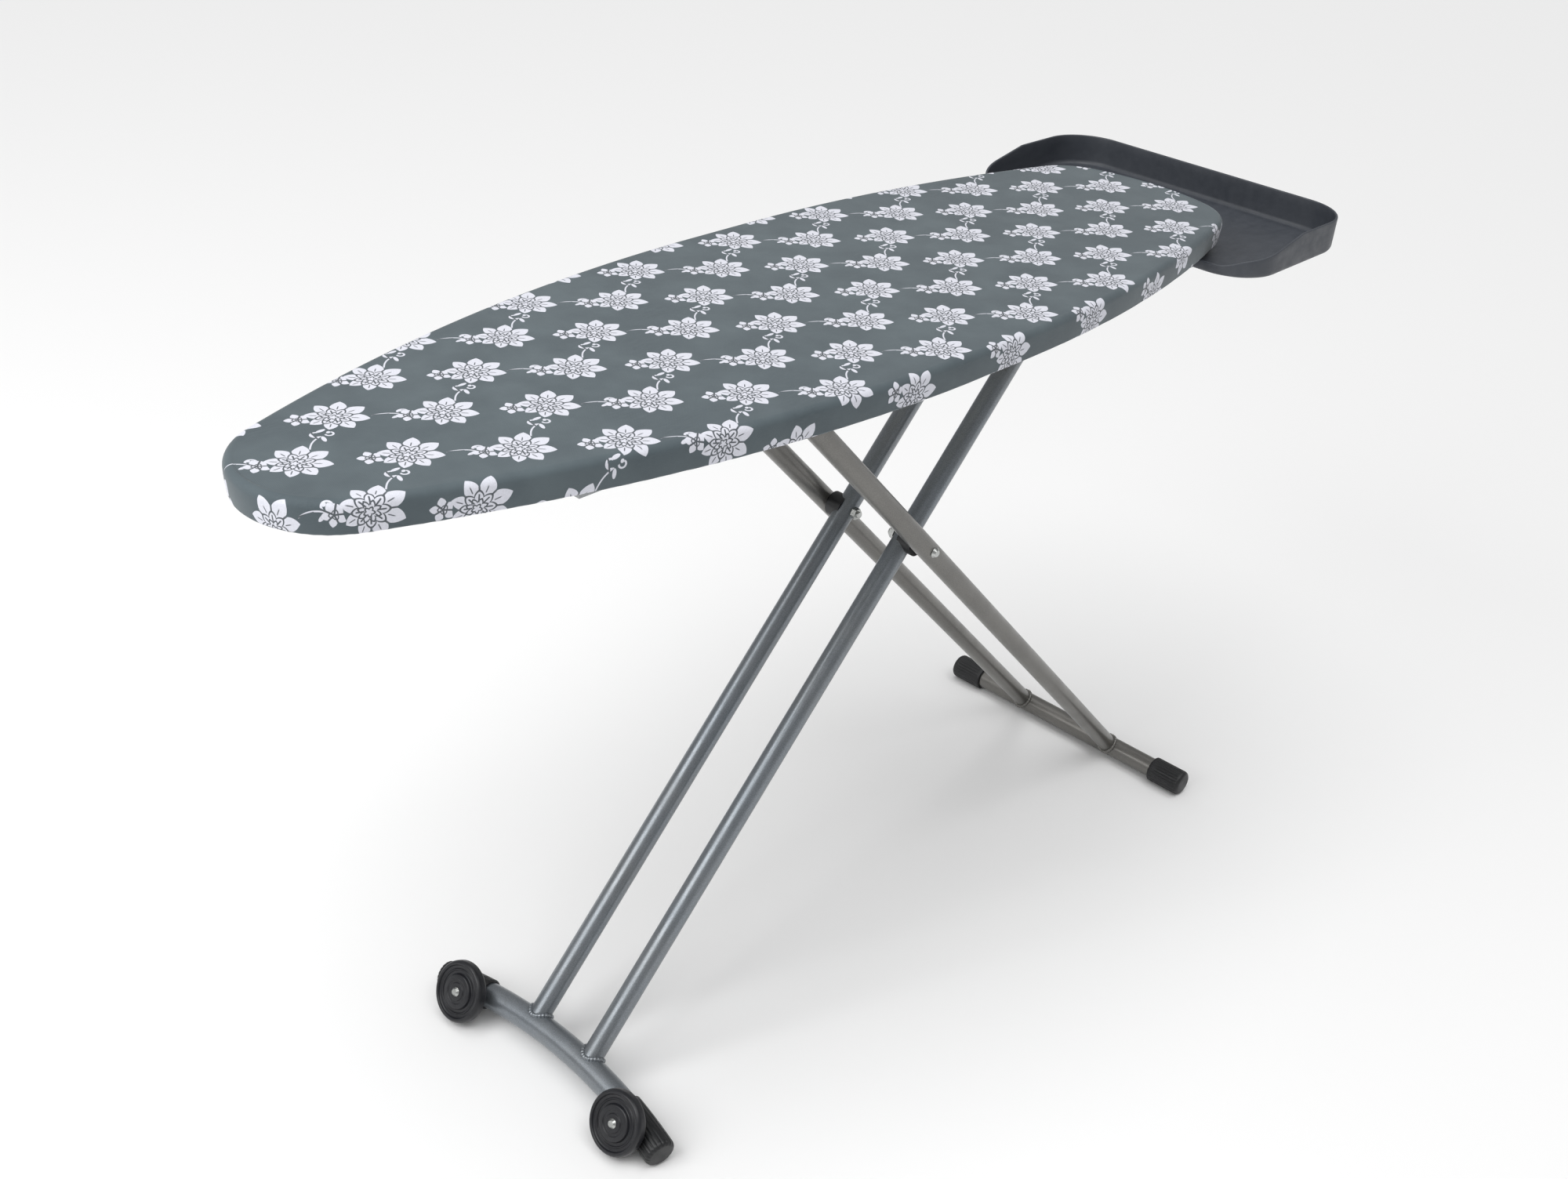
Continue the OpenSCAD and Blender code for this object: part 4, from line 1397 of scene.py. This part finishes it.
@dataclass
class IronTray:
    """Moulded tray past the tail, with a wall that climbs from the tail to its full height."""

    paint: Paintshop
    corner: float = 0.062
    wall: float = 0.003
    foot_round: float = 0.007
    ramp: float = 0.017
    lip_over_low: float = 0.008
    cover_gap: float = 0.002
    inner_round: float = 0.006
    steps: int = 6

    def plan(self, inset: float, corner_steps: int = 20, side_steps: int = 30) -> np.ndarray:
        """Rounded rectangle of the tray, inset from its outer face.

        Args:
            inset: Distance inside the outer face.
            corner_steps: Steps in each corner.
            side_steps: Steps along each side.

        Returns:
            Plan points, the same number for any inset.
        """
        low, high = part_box("iron_tray")
        radius = self.corner - inset
        centres = (
            (high.x - self.corner, high.y - self.corner, 0.0),
            (low.x + self.corner, high.y - self.corner, math.pi / 2),
            (low.x + self.corner, low.y + self.corner, math.pi),
            (high.x - self.corner, low.y + self.corner, math.pi * 1.5),
        )
        points: list[tuple[float, float]] = []
        for index, (cx, cy, a0) in enumerate(centres):
            for i in range(corner_steps + 1):
                turn = a0 + math.pi / 2 * i / corner_steps
                points.append((cx + radius * math.cos(turn), cy + radius * math.sin(turn)))
            nx, ny, b0 = centres[(index + 1) % 4]
            start = np.array(points[-1])
            end = np.array((nx + radius * math.cos(b0), ny + radius * math.sin(b0)))
            points += [tuple(start + (end - start) * i / side_steps) for i in range(1, side_steps)]
        return np.array(points)

    def wall_top(self, x: np.ndarray) -> np.ndarray:
        """Finds the height of the wall's top along the tray.

        Args:
            x: Places along the tray.

        Returns:
            The height at each.
        """
        low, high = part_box("iron_tray")
        cover_low, cover_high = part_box("cover")
        start = cover_low.z - self.cover_gap
        marks = (low.x, low.x + self.wall, low.x + self.ramp, cover_high.x, high.x)
        levels = (start, start, start + self.lip_over_low, high.z, high.z)
        return np.interp(x, marks, levels)

    def rings(self) -> list[tuple[np.ndarray, np.ndarray]]:
        """Runs round the tray from under its floor, up outside the wall, over the lip and down inside.

        Returns:
            Plan points and heights of each ring.
        """
        low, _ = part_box("iron_tray")
        lip = self.wall / 2
        outer = self.plan(0.0)
        level = np.ones(len(outer))
        rim = self.wall_top(outer[:, 0]) - lip
        turns = [math.pi / 2 * k / self.steps for k in range(self.steps + 1)]
        rings = []
        for turn in turns:
            height = low.z + self.foot_round * (1 - math.cos(turn))
            rings.append((self.plan(self.foot_round * (1 - math.sin(turn))), level * height))
        foot_top = low.z + self.foot_round
        rings += [(outer, foot_top + (rim - foot_top) * share) for share in (0.35, 0.7)]
        for turn in turns:
            rings.append((self.plan(lip * (1 - math.cos(2 * turn))), rim + lip * math.sin(2 * turn)))
        floor = low.z + self.wall
        drop = floor + self.inner_round - rim
        rings += [(self.plan(self.wall), rim + drop * share) for share in (0.3, 0.65)]
        for turn in turns:
            inset = self.wall + self.inner_round * (1 - math.cos(turn))
            rings.append((self.plan(inset), level * (floor + self.inner_round * (1 - math.sin(turn)))))
        return rings

    def build(self) -> None:
        """Builds the tray and dresses what holds it."""
        rings = self.rings()
        around = len(rings[0][0])
        points = np.vstack([np.column_stack([plan, height]) for plan, height in rings])
        faces: list[tuple[int, ...]] = list(ring_faces(len(rings), around))
        faces.append(tuple(reversed(range(around))))
        faces.append(tuple(range(len(points) - around, len(points))))
        piece = new_piece("tray_moulding", points, faces)
        self.paint.place(piece, Body.BOARD, Slot.TRAY, "iron_tray")
        self.paint.dress_nodes(Slot.FRAME, "tray_arm_near", "tray_arm_far")
        self.paint.dress_nodes(Slot.ZINC, "tray_screws")


# ---- Legs ----


@dataclass(frozen=True)
class Tube:
    """A straight tube, or the stretch of a bent one near a joint."""

    place: Vector
    direction: Vector
    radius: float


@dataclass
class WeldBead:
    """Fillet weld where one tube ends on another."""

    paint: Paintshop
    bead: float = 0.0026
    ripple: float = 0.0004
    ripples: int = 26
    steps: int = 120
    sides: int = 10

    def line(self, tube: Tube, bar: Tube) -> list[Vector]:
        """Finds the line where a tube meets a bar, a quarter of the bead outside both.

        Args:
            tube: The tube that ends there.
            bar: The bar that it ends on.

        Returns:
            Points round the line.
        """
        u, v, w = axes_about(tube.direction)
        along, sunk = bar.direction.normalized(), self.bead * 0.25
        a = w - along * w.dot(along)
        line = []
        for i in range(self.steps):
            turn = math.tau * i / self.steps
            out = (u * math.cos(turn) + v * math.sin(turn)) * (tube.radius + sunk)
            start = tube.place + out - bar.place
            b = start - along * start.dot(along)
            qa, qb, qc = a.dot(a), 2 * a.dot(b), b.dot(b) - (bar.radius + sunk) ** 2
            root = math.sqrt(max(0.0, qb * qb - 4 * qa * qc))
            line.append(bar.place + start + w * ((-qb + root) / (2 * qa)))
        return line

    def build(self, name: str, body: Body, slot: Slot, tube: Tube, bar: Tube) -> bpy.types.Object:
        """Runs a rippled bead along the line where a tube meets a bar.

        Args:
            name: The piece's name.
            body: The body that it rides on.
            slot: The paint that covers it.
            tube: The tube that ends there.
            bar: The bar that it ends on.

        Returns:
            The piece.
        """
        line, count, sides = self.line(tube, bar), self.steps, self.sides
        points = []
        for i, here in enumerate(line):
            p, q, _ = axes_about(line[(i + 1) % count] - line[i - 1])
            swell = self.bead + self.ripple * math.sin(math.tau * self.ripples * i / count)
            for j in range(sides):
                turn = math.tau * j / sides
                points.append(here + (p * math.cos(turn) + q * math.sin(turn)) * swell)
        faces = ring_faces(count, sides)
        last = (count - 1) * sides
        faces += [(last + j, last + (j + 1) % sides, (j + 1) % sides, j) for j in range(sides)]
        return self.paint.place(new_piece(name, points, faces), body, slot)


@dataclass
class WheelLegs:
    """Inner legs with the bowed bar, its sleeves, the castors and the pivot bolts."""

    paint: Paintshop
    leg_radius: float = 0.0125
    bar_radius: float = 0.015
    bow_height: float = 0.024
    bow_angle: float = 35.0
    sleeve_radius: float = 0.018
    sleeve_length: float = 0.069
    sleeve_edge: float = 0.005
    ribs: int = 20
    rib_depth: float = 0.0009
    boss_radius: float = 0.011
    boss_gap: float = 0.0003
    boss_steps: int = 48
    wheel_radius: float = 0.036
    wheel_width: float = 0.016
    wheel_bore: float = 0.0032
    wheel_steps: int = 128

    def __post_init__(self) -> None:
        """Finds the bow's circle and the legs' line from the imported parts."""
        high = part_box("wheel_bar")[1]
        sleeve_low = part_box("sleeve_near")[0]
        slope = math.radians(self.bow_angle)
        self.outward = Vector((math.cos(slope), 0, math.sin(slope)))
        self.end_x = high.x - self.bar_radius - self.bow_height * math.cos(slope)
        self.end_z = high.z - self.bar_radius - self.bow_height * math.sin(slope)
        # The sleeve's end is square to the bow, so the bar's half length follows from its lowest Y.
        self.half_length = high.y
        for _ in range(8):
            radius = (self.half_length**2 + self.bow_height**2) / (2 * self.bow_height)
            lean = math.asin(self.half_length / radius)
            self.half_length = -sleeve_low.y - self.sleeve_radius * math.sin(lean)
        self.bow_radius = radius

    def along_bow(self, y: float) -> Vector:
        """Point on the bar's axis at a distance from the middle."""
        rise = math.sqrt(self.bow_radius**2 - y * y) - (self.bow_radius - self.bow_height)
        return Vector((self.end_x, y, self.end_z)) + self.outward * rise

    def build_sleeve(self, side: Side) -> bpy.types.Object:
        """Makes the ribbed end sleeve on the bar, with the boss that carries the axle.

        Args:
            side: Side of the board.

        Returns:
            The sleeve.
        """
        name = side.name.lower()
        length, radius, edge = self.sleeve_length, self.sleeve_radius, self.sleeve_edge
        profile = [(self.bar_radius, 0.001), (radius - 0.0012, 0.0), (radius, 0.0014)]
        profile += [(radius, length * s) for s in (0.08, 0.2, 0.4, 0.6, 0.8)]
        for k in range(8):
            turn = math.pi / 2 * k / 7
            profile.append((radius - edge * (1 - math.cos(turn)), length - edge * (1 - math.sin(turn))))
        profile += [(radius - self.bar_radius, length), (0.0001, length + 0.0004)]
        around = self.ribs * 8
        points = []
        for r, s in profile:
            y = side.value * (self.half_length - length + min(s, length))
            centre = self.along_bow(max(-self.half_length, min(self.half_length, y)))
            ahead = (Vector((0, side.value, 0)) - self.outward * (abs(y) / self.bow_radius)).normalized()
            across = ahead.cross(Vector((0, 1, 0)).cross(self.outward)).normalized()
            level = ahead.cross(across).normalized()
            fade = min(1.0, max(0.0, (s - 0.004) / 0.006)) * (1.0 if r > radius * 0.8 else 0.0)
            for j in range(around):
                turn = math.tau * j / around
                rib = r - self.rib_depth * fade * max(0.0, math.cos(turn * self.ribs)) ** 3
                points.append(centre + (across * math.cos(turn) + level * math.sin(turn)) * rib)
        faces: list[tuple[int, ...]] = list(ring_faces(len(profile), around))
        self.add_boss(points, faces, side)
        piece = new_piece(f"ribbed_sleeve_{name}", points, faces)
        return self.paint.place(piece, Body.WHEEL_LEGS, Slot.BLACK, f"sleeve_{name}")

    def add_boss(self, points: list[Vector], faces: list[tuple[int, ...]], side: Side) -> None:
        """Adds the round boss under the wheel.

        Args:
            points: The sleeve's vertices so far.
            faces: The sleeve's faces so far.
            side: Side of the board.
        """
        top, radius = -self.wheel_width / 2 - self.boss_gap, self.boss_radius
        profile = [(radius + 0.004, top - 0.008), (radius + 0.0006, top - 0.004)]
        profile += [(radius, top - 0.0006), (radius - 0.0006, top), (0.003, top)]
        faces.extend(ring_faces(len(profile), self.boss_steps, len(points)))
        points.extend(turned(profile, *self.axle(side), self.boss_steps))

    def axle(self, side: Side) -> tuple[Vector, Vector]:
        """Middle of a wheel and the direction of its axle."""
        return joint_line(f"wheel_{side.name.lower()}_spin")

    def build_wheel(self, side: Side) -> bpy.types.Object:
        """Makes a castor wheel: tyre band, sunk ring and raised hub, turned as one moulding.

        Args:
            side: Side of the board.

        Returns:
            The wheel.
        """
        name = side.name.lower()
        middle, axis = self.axle(side)
        r, h, bore = self.wheel_radius, self.wheel_width, self.wheel_bore
        corners = [
            (bore, 0.0, 0.0), (r * 0.86, 0.0, 0.001), (r * 0.94, 0.0006, 0.001), (r, 0.003, 0.002),
            (r, h - 0.0045, 0.0018), (r - 0.0022, h - 0.0016, 0.0012), (r * 0.86, h - 0.0016, 0.0008),
            (r * 0.83, h - 0.0042, 0.0008), (r * 0.74, h - 0.0046, 0.0006), (r * 0.725, h - 0.0036, 0.0005),
            (r * 0.69, h - 0.0036, 0.0005), (r * 0.675, h - 0.0048, 0.0006), (r * 0.58, h - 0.0048, 0.0008),
            (r * 0.545, h - 0.001, 0.001), (r * 0.4, h - 0.0006, 0.0006), (r * 0.385, h - 0.0014, 0.0004),
            (r * 0.3, h - 0.0014, 0.0004), (r * 0.28, h - 0.0001, 0.0004), (bore, h - 0.0001, 0.0),
        ]
        profile = rounded(corners, 4)
        points = turned(profile, middle - axis * (h / 2), axis, self.wheel_steps)
        piece = new_piece(f"castor_wheel_{name}", points, ring_faces(len(profile), self.wheel_steps))
        return self.paint.place(piece, Body[f"WHEEL_{side.name}"], Slot.WHEEL, f"wheel_{name}")

    def build_welds(self) -> None:
        """Beads where the legs end on the bowed bar and on the hinge knuckle."""
        bead = WeldBead(self.paint)
        pivot, hinge = joint_line("leg_cross")[0], joint_line("leg_fold")[0]
        knuckle_radius = (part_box("hinge_knuckle")[1].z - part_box("hinge_knuckle")[0].z) / 2
        for side in Side:
            name = side.name.lower()
            low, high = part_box(f"wheel_leg_{name}")
            y = (low.y + high.y) / 2
            start, top = Vector((pivot.x, y, pivot.z)), Vector((hinge.x, y, hinge.z))
            up = (top - start).normalized()
            tangent = CROSSWISE - self.outward * (start.y / self.bow_radius)
            bow = Tube(self.along_bow(start.y), tangent, self.bar_radius)
            knuckle = Tube(top, CROSSWISE, knuckle_radius)
            for end, away, bar in (("bar", up, bow), ("knuckle", -up, knuckle)):
                tube = Tube(start, away, self.leg_radius)
                bead.build(f"weld_{end}_{name}", Body.WHEEL_LEGS, Slot.WHEEL_LEG, tube, bar)

    def build(self) -> None:
        """Builds and dresses the wheel legs."""
        for side in Side:
            self.build_sleeve(side)
            self.build_wheel(side)
        self.build_welds()
        painted = ("wheel_leg_near", "wheel_leg_far", "hinge_knuckle", "wheel_bar")
        self.paint.dress_nodes(Slot.WHEEL_LEG, *painted)
        self.paint.dress_nodes(Slot.BLACK, "spacer_near", "spacer_far")
        zinc = ("axle_near", "axle_far", "pivot_bolt_near", "pivot_bolt_far", "pivot_nuts")
        self.paint.dress_nodes(Slot.ZINC, *zinc)


@dataclass
class FootLegs:
    """Outer legs with the foot bar, its fluted caps and the sliding rod at the top."""

    paint: Paintshop
    leg_radius: float = 0.0125
    bar_radius: float = 0.014
    flutes: int = 24
    flute_depth: float = 0.0011
    cap_edge: float = 0.006

    def build_cap(self, side: Side) -> bpy.types.Object:
        """Makes the fluted cap on one end of the foot bar.

        Args:
            side: Side of the board.

        Returns:
            The cap.
        """
        name = side.name.lower()
        low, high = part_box(f"foot_cap_{name}")
        radius, length = (high.z - low.z) / 2, high.y - low.y
        inner = low.y if side is Side.FAR else high.y
        origin = Vector(((low.x + high.x) / 2, inner, (low.z + high.z) / 2))
        axis = Vector((0, side.value, 0))
        profile = [(self.bar_radius + 0.0001, 0.0012), (self.bar_radius + 0.001, 0.0)]
        profile += [(radius - 0.0014, 0.0), (radius - 0.0002, 0.0012), (radius, 0.003), (radius, 0.006)]
        profile += [(radius, length * s) for s in (0.2, 0.4, 0.6, 0.75)]
        profile.append((radius, length - self.cap_edge - 0.002))
        for k in range(9):
            turn = math.pi / 2 * k / 8
            r = radius - self.cap_edge * (1 - math.cos(turn))
            profile.append((r, length - self.cap_edge * (1 - math.sin(turn)) - 0.0004))
        profile += [(radius * 0.55, length - 0.0001), (radius * 0.3, length), (0.0001, length)]

        def cut(turn: float, r: float, height: float) -> float:
            """Finds the depth of the flutes, which fade out towards both ends.

            Args:
                turn: Angle round the cap.
                r: Radius before the cut.
                height: Distance from the cap's mouth.

            Returns:
                The depth.
            """
            fade_in = min(1.0, max(0.0, (height - 0.005) / 0.005))
            fade_out = min(1.0, max(0.0, (length - 0.0025 - height) / 0.006))
            groove = max(0.0, math.cos(turn * self.flutes)) ** 2
            return self.flute_depth * groove * fade_in * fade_out if r > radius * 0.7 else 0.0

        around = self.flutes * 10
        points = turned(profile, origin, axis, around, cut)
        piece = new_piece(f"fluted_cap_{name}", points, ring_faces(len(profile), around))
        return self.paint.place(piece, Body.FOOT_LEGS, Slot.BLACK, f"foot_cap_{name}")

    def build_welds(self) -> None:
        """Beads where the legs end on the foot bar."""
        bead = WeldBead(self.paint)
        bar_low, bar_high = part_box("foot_bar")
        middle = (bar_low + bar_high) / 2
        pivot, _ = joint_line("leg_cross")
        for side in Side:
            name = side.name.lower()
            low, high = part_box(f"foot_leg_{name}")
            y = (low.y + high.y) / 2
            start, foot = Vector((pivot.x, y, pivot.z)), Vector((middle.x, y, middle.z))
            tube = Tube(start, (start - foot).normalized(), self.leg_radius)
            bar = Tube(foot, CROSSWISE, self.bar_radius)
            bead.build(f"weld_foot_{name}", Body.FOOT_LEGS, Slot.FOOT_LEG, tube, bar)

    def build(self) -> None:
        """Builds and dresses the foot legs."""
        for side in Side:
            self.build_cap(side)
        self.build_welds()
        self.paint.dress_nodes(Slot.FOOT_LEG, "foot_leg_near", "foot_leg_far", "foot_bar")
        self.paint.dress_nodes(Slot.ZINC, "slide_rod")
        self.paint.dress_nodes(Slot.NYLON, "slide_shoe_near", "slide_shoe_far")


@dataclass
class ReleaseLever:
    """Squeeze lever under the board with its moulded grip."""

    paint: Paintshop
    stations: int = 28
    around: int = 40
    finger_ridge: float = 0.06

    def build(self) -> None:
        """Builds the grip and dresses the lever."""
        low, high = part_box("lever_grip")
        centre = (low + high) / 2
        size = (high - low) / 2
        points = []
        for i in range(self.stations + 1):
            t = -1 + 2 * i / self.stations
            fullness = max(0.0, 1 - abs(t) ** 5) ** 0.5
            ridge = 1 - self.finger_ridge * (0.5 + 0.5 * math.cos(t * math.pi * 5)) * fullness
            for j in range(self.around):
                turn = math.tau * j / self.around
                c, s = math.cos(turn), math.sin(turn)
                x = math.copysign(abs(c) ** 0.62, c) * size.x * (0.35 + 0.65 * fullness)
                z = math.copysign(abs(s) ** 0.7, s) * size.z * (0.4 + 0.6 * fullness) * ridge
                points.append((centre.x + x, centre.y - t * size.y, centre.z + z))
        faces: list[tuple[int, ...]] = list(ring_faces(self.stations + 1, self.around))
        faces.append(tuple(reversed(range(self.around))))
        faces.append(tuple(range(self.stations * self.around, (self.stations + 1) * self.around)))
        piece = new_piece("grip_moulding", points, faces)
        self.paint.place(piece, Body.LEVER, Slot.BLACK, "lever_grip")
        self.paint.dress_nodes(Slot.LEVER, "lever_arm")
        self.paint.dress_nodes(Slot.ZINC, "lever_pin")
        self.paint.dress_nodes(Slot.SPRING, "lever_spring")


# ---- Studio ----


@dataclass
class Studio:
    """Pale floor, soft lights and the camera."""

    camera_place: tuple[float, float, float] = (-1.3373, -1.1013, 1.5024)
    yaw: float = 49.18
    pitch: float = 30.54
    roll: float = 4.78
    lens: float = 40.26
    floor_half: float = 14.0
    key_place: tuple[float, float, float] = (-2.7, 0.5, 2.6)
    key_target: tuple[float, float, float] = (0.0, 0.0, 0.7)
    key_size: float = 2.2
    key_power: float = 58.0
    overhead_power: float = 1.8
    overhead_spread: float = 60.0
    overhead_tilt: tuple[float, float, float] = (8.0, -6.0, 0.0)
    surround: float = 0.36
    floor_colour: str = "f4f4f4"

    def build_camera(self) -> None:
        """Camera that stands before the nose on the near side and looks down along the board."""
        yaw, pitch, roll = (math.radians(a) for a in (self.yaw, self.pitch, self.roll))
        ahead = Vector((math.sin(yaw) * math.cos(pitch), math.cos(yaw) * math.cos(pitch), -math.sin(pitch)))
        right = Vector((math.cos(yaw), -math.sin(yaw), 0))
        up = right.cross(ahead)
        across = right * math.cos(roll) + up * math.sin(roll)
        above = up * math.cos(roll) - right * math.sin(roll)
        data = bpy.data.cameras.new("camera")
        data.lens = self.lens
        data.sensor_width = 36.0
        data.clip_end = 60.0
        camera = bpy.data.objects.new("camera", data)
        turn = Matrix((across, above, -ahead)).transposed().to_4x4()
        camera.matrix_world = Matrix.Translation(self.camera_place) @ turn
        bpy.context.scene.collection.objects.link(camera)
        bpy.context.scene.camera = camera

    def build_floor(self) -> None:
        """Large matt floor."""
        s = self.floor_half
        floor = new_piece("floor", [(-s, -s, 0), (s, -s, 0), (s, s, 0), (-s, s, 0)], [(0, 1, 2, 3)])
        material, _ = new_material("matt_floor")
        sockets = {"Base Color": linear(self.floor_colour), "Roughness": 0.9}
        floor.data.materials.append(surfaced(material, sockets))

    def build_key(self) -> None:
        """Large square soft light high before the nose."""
        data = bpy.data.lights.new("key", "AREA")
        data.size = self.key_size
        data.energy = self.key_power
        light = bpy.data.objects.new("key", data)
        light.location = self.key_place
        ahead = Vector(self.key_target) - Vector(self.key_place)
        light.rotation_euler = ahead.to_track_quat("-Z", "Y").to_euler()
        bpy.context.scene.collection.objects.link(light)

    def build_overhead(self) -> None:
        """Wide soft light from above, with no edge to its shadows."""
        data = bpy.data.lights.new("overhead", "SUN")
        data.energy = self.overhead_power
        data.angle = math.radians(self.overhead_spread)
        light = bpy.data.objects.new("overhead", data)
        light.rotation_euler = [math.radians(a) for a in self.overhead_tilt]
        bpy.context.scene.collection.objects.link(light)

    def build_surround(self) -> None:
        """Even white surround that fills the shadows."""
        world = bpy.data.worlds.new("studio")
        world.use_nodes = True
        tree = world.node_tree
        tree.nodes.clear()
        white = {"Color": linear("ffffff"), "Strength": self.surround}
        sky = add_node(tree, "ShaderNodeBackground", inputs=white)
        add_node(tree, "ShaderNodeOutputWorld", inputs={"Surface": sky.outputs[0]})
        bpy.context.scene.world = world

    def build(self) -> None:
        """Builds the studio."""
        self.build_camera()
        self.build_floor()
        self.build_key()
        self.build_overhead()
        self.build_surround()
        bpy.context.scene.view_settings.view_transform = "Standard"


def main() -> None:
    """Builds the studio and every part of the ironing board in order."""
    logging.basicConfig(level=logging.INFO, format="%(name)s: %(message)s")
    Studio().build()
    paint = Paintshop()
    PaddedTop(paint, Outline()).build()
    TopFrame(paint).build()
    IronTray(paint).build()
    WheelLegs(paint).build()
    FootLegs(paint).build()
    ReleaseLever(paint).build()


if __name__ == "__main__":
    main()
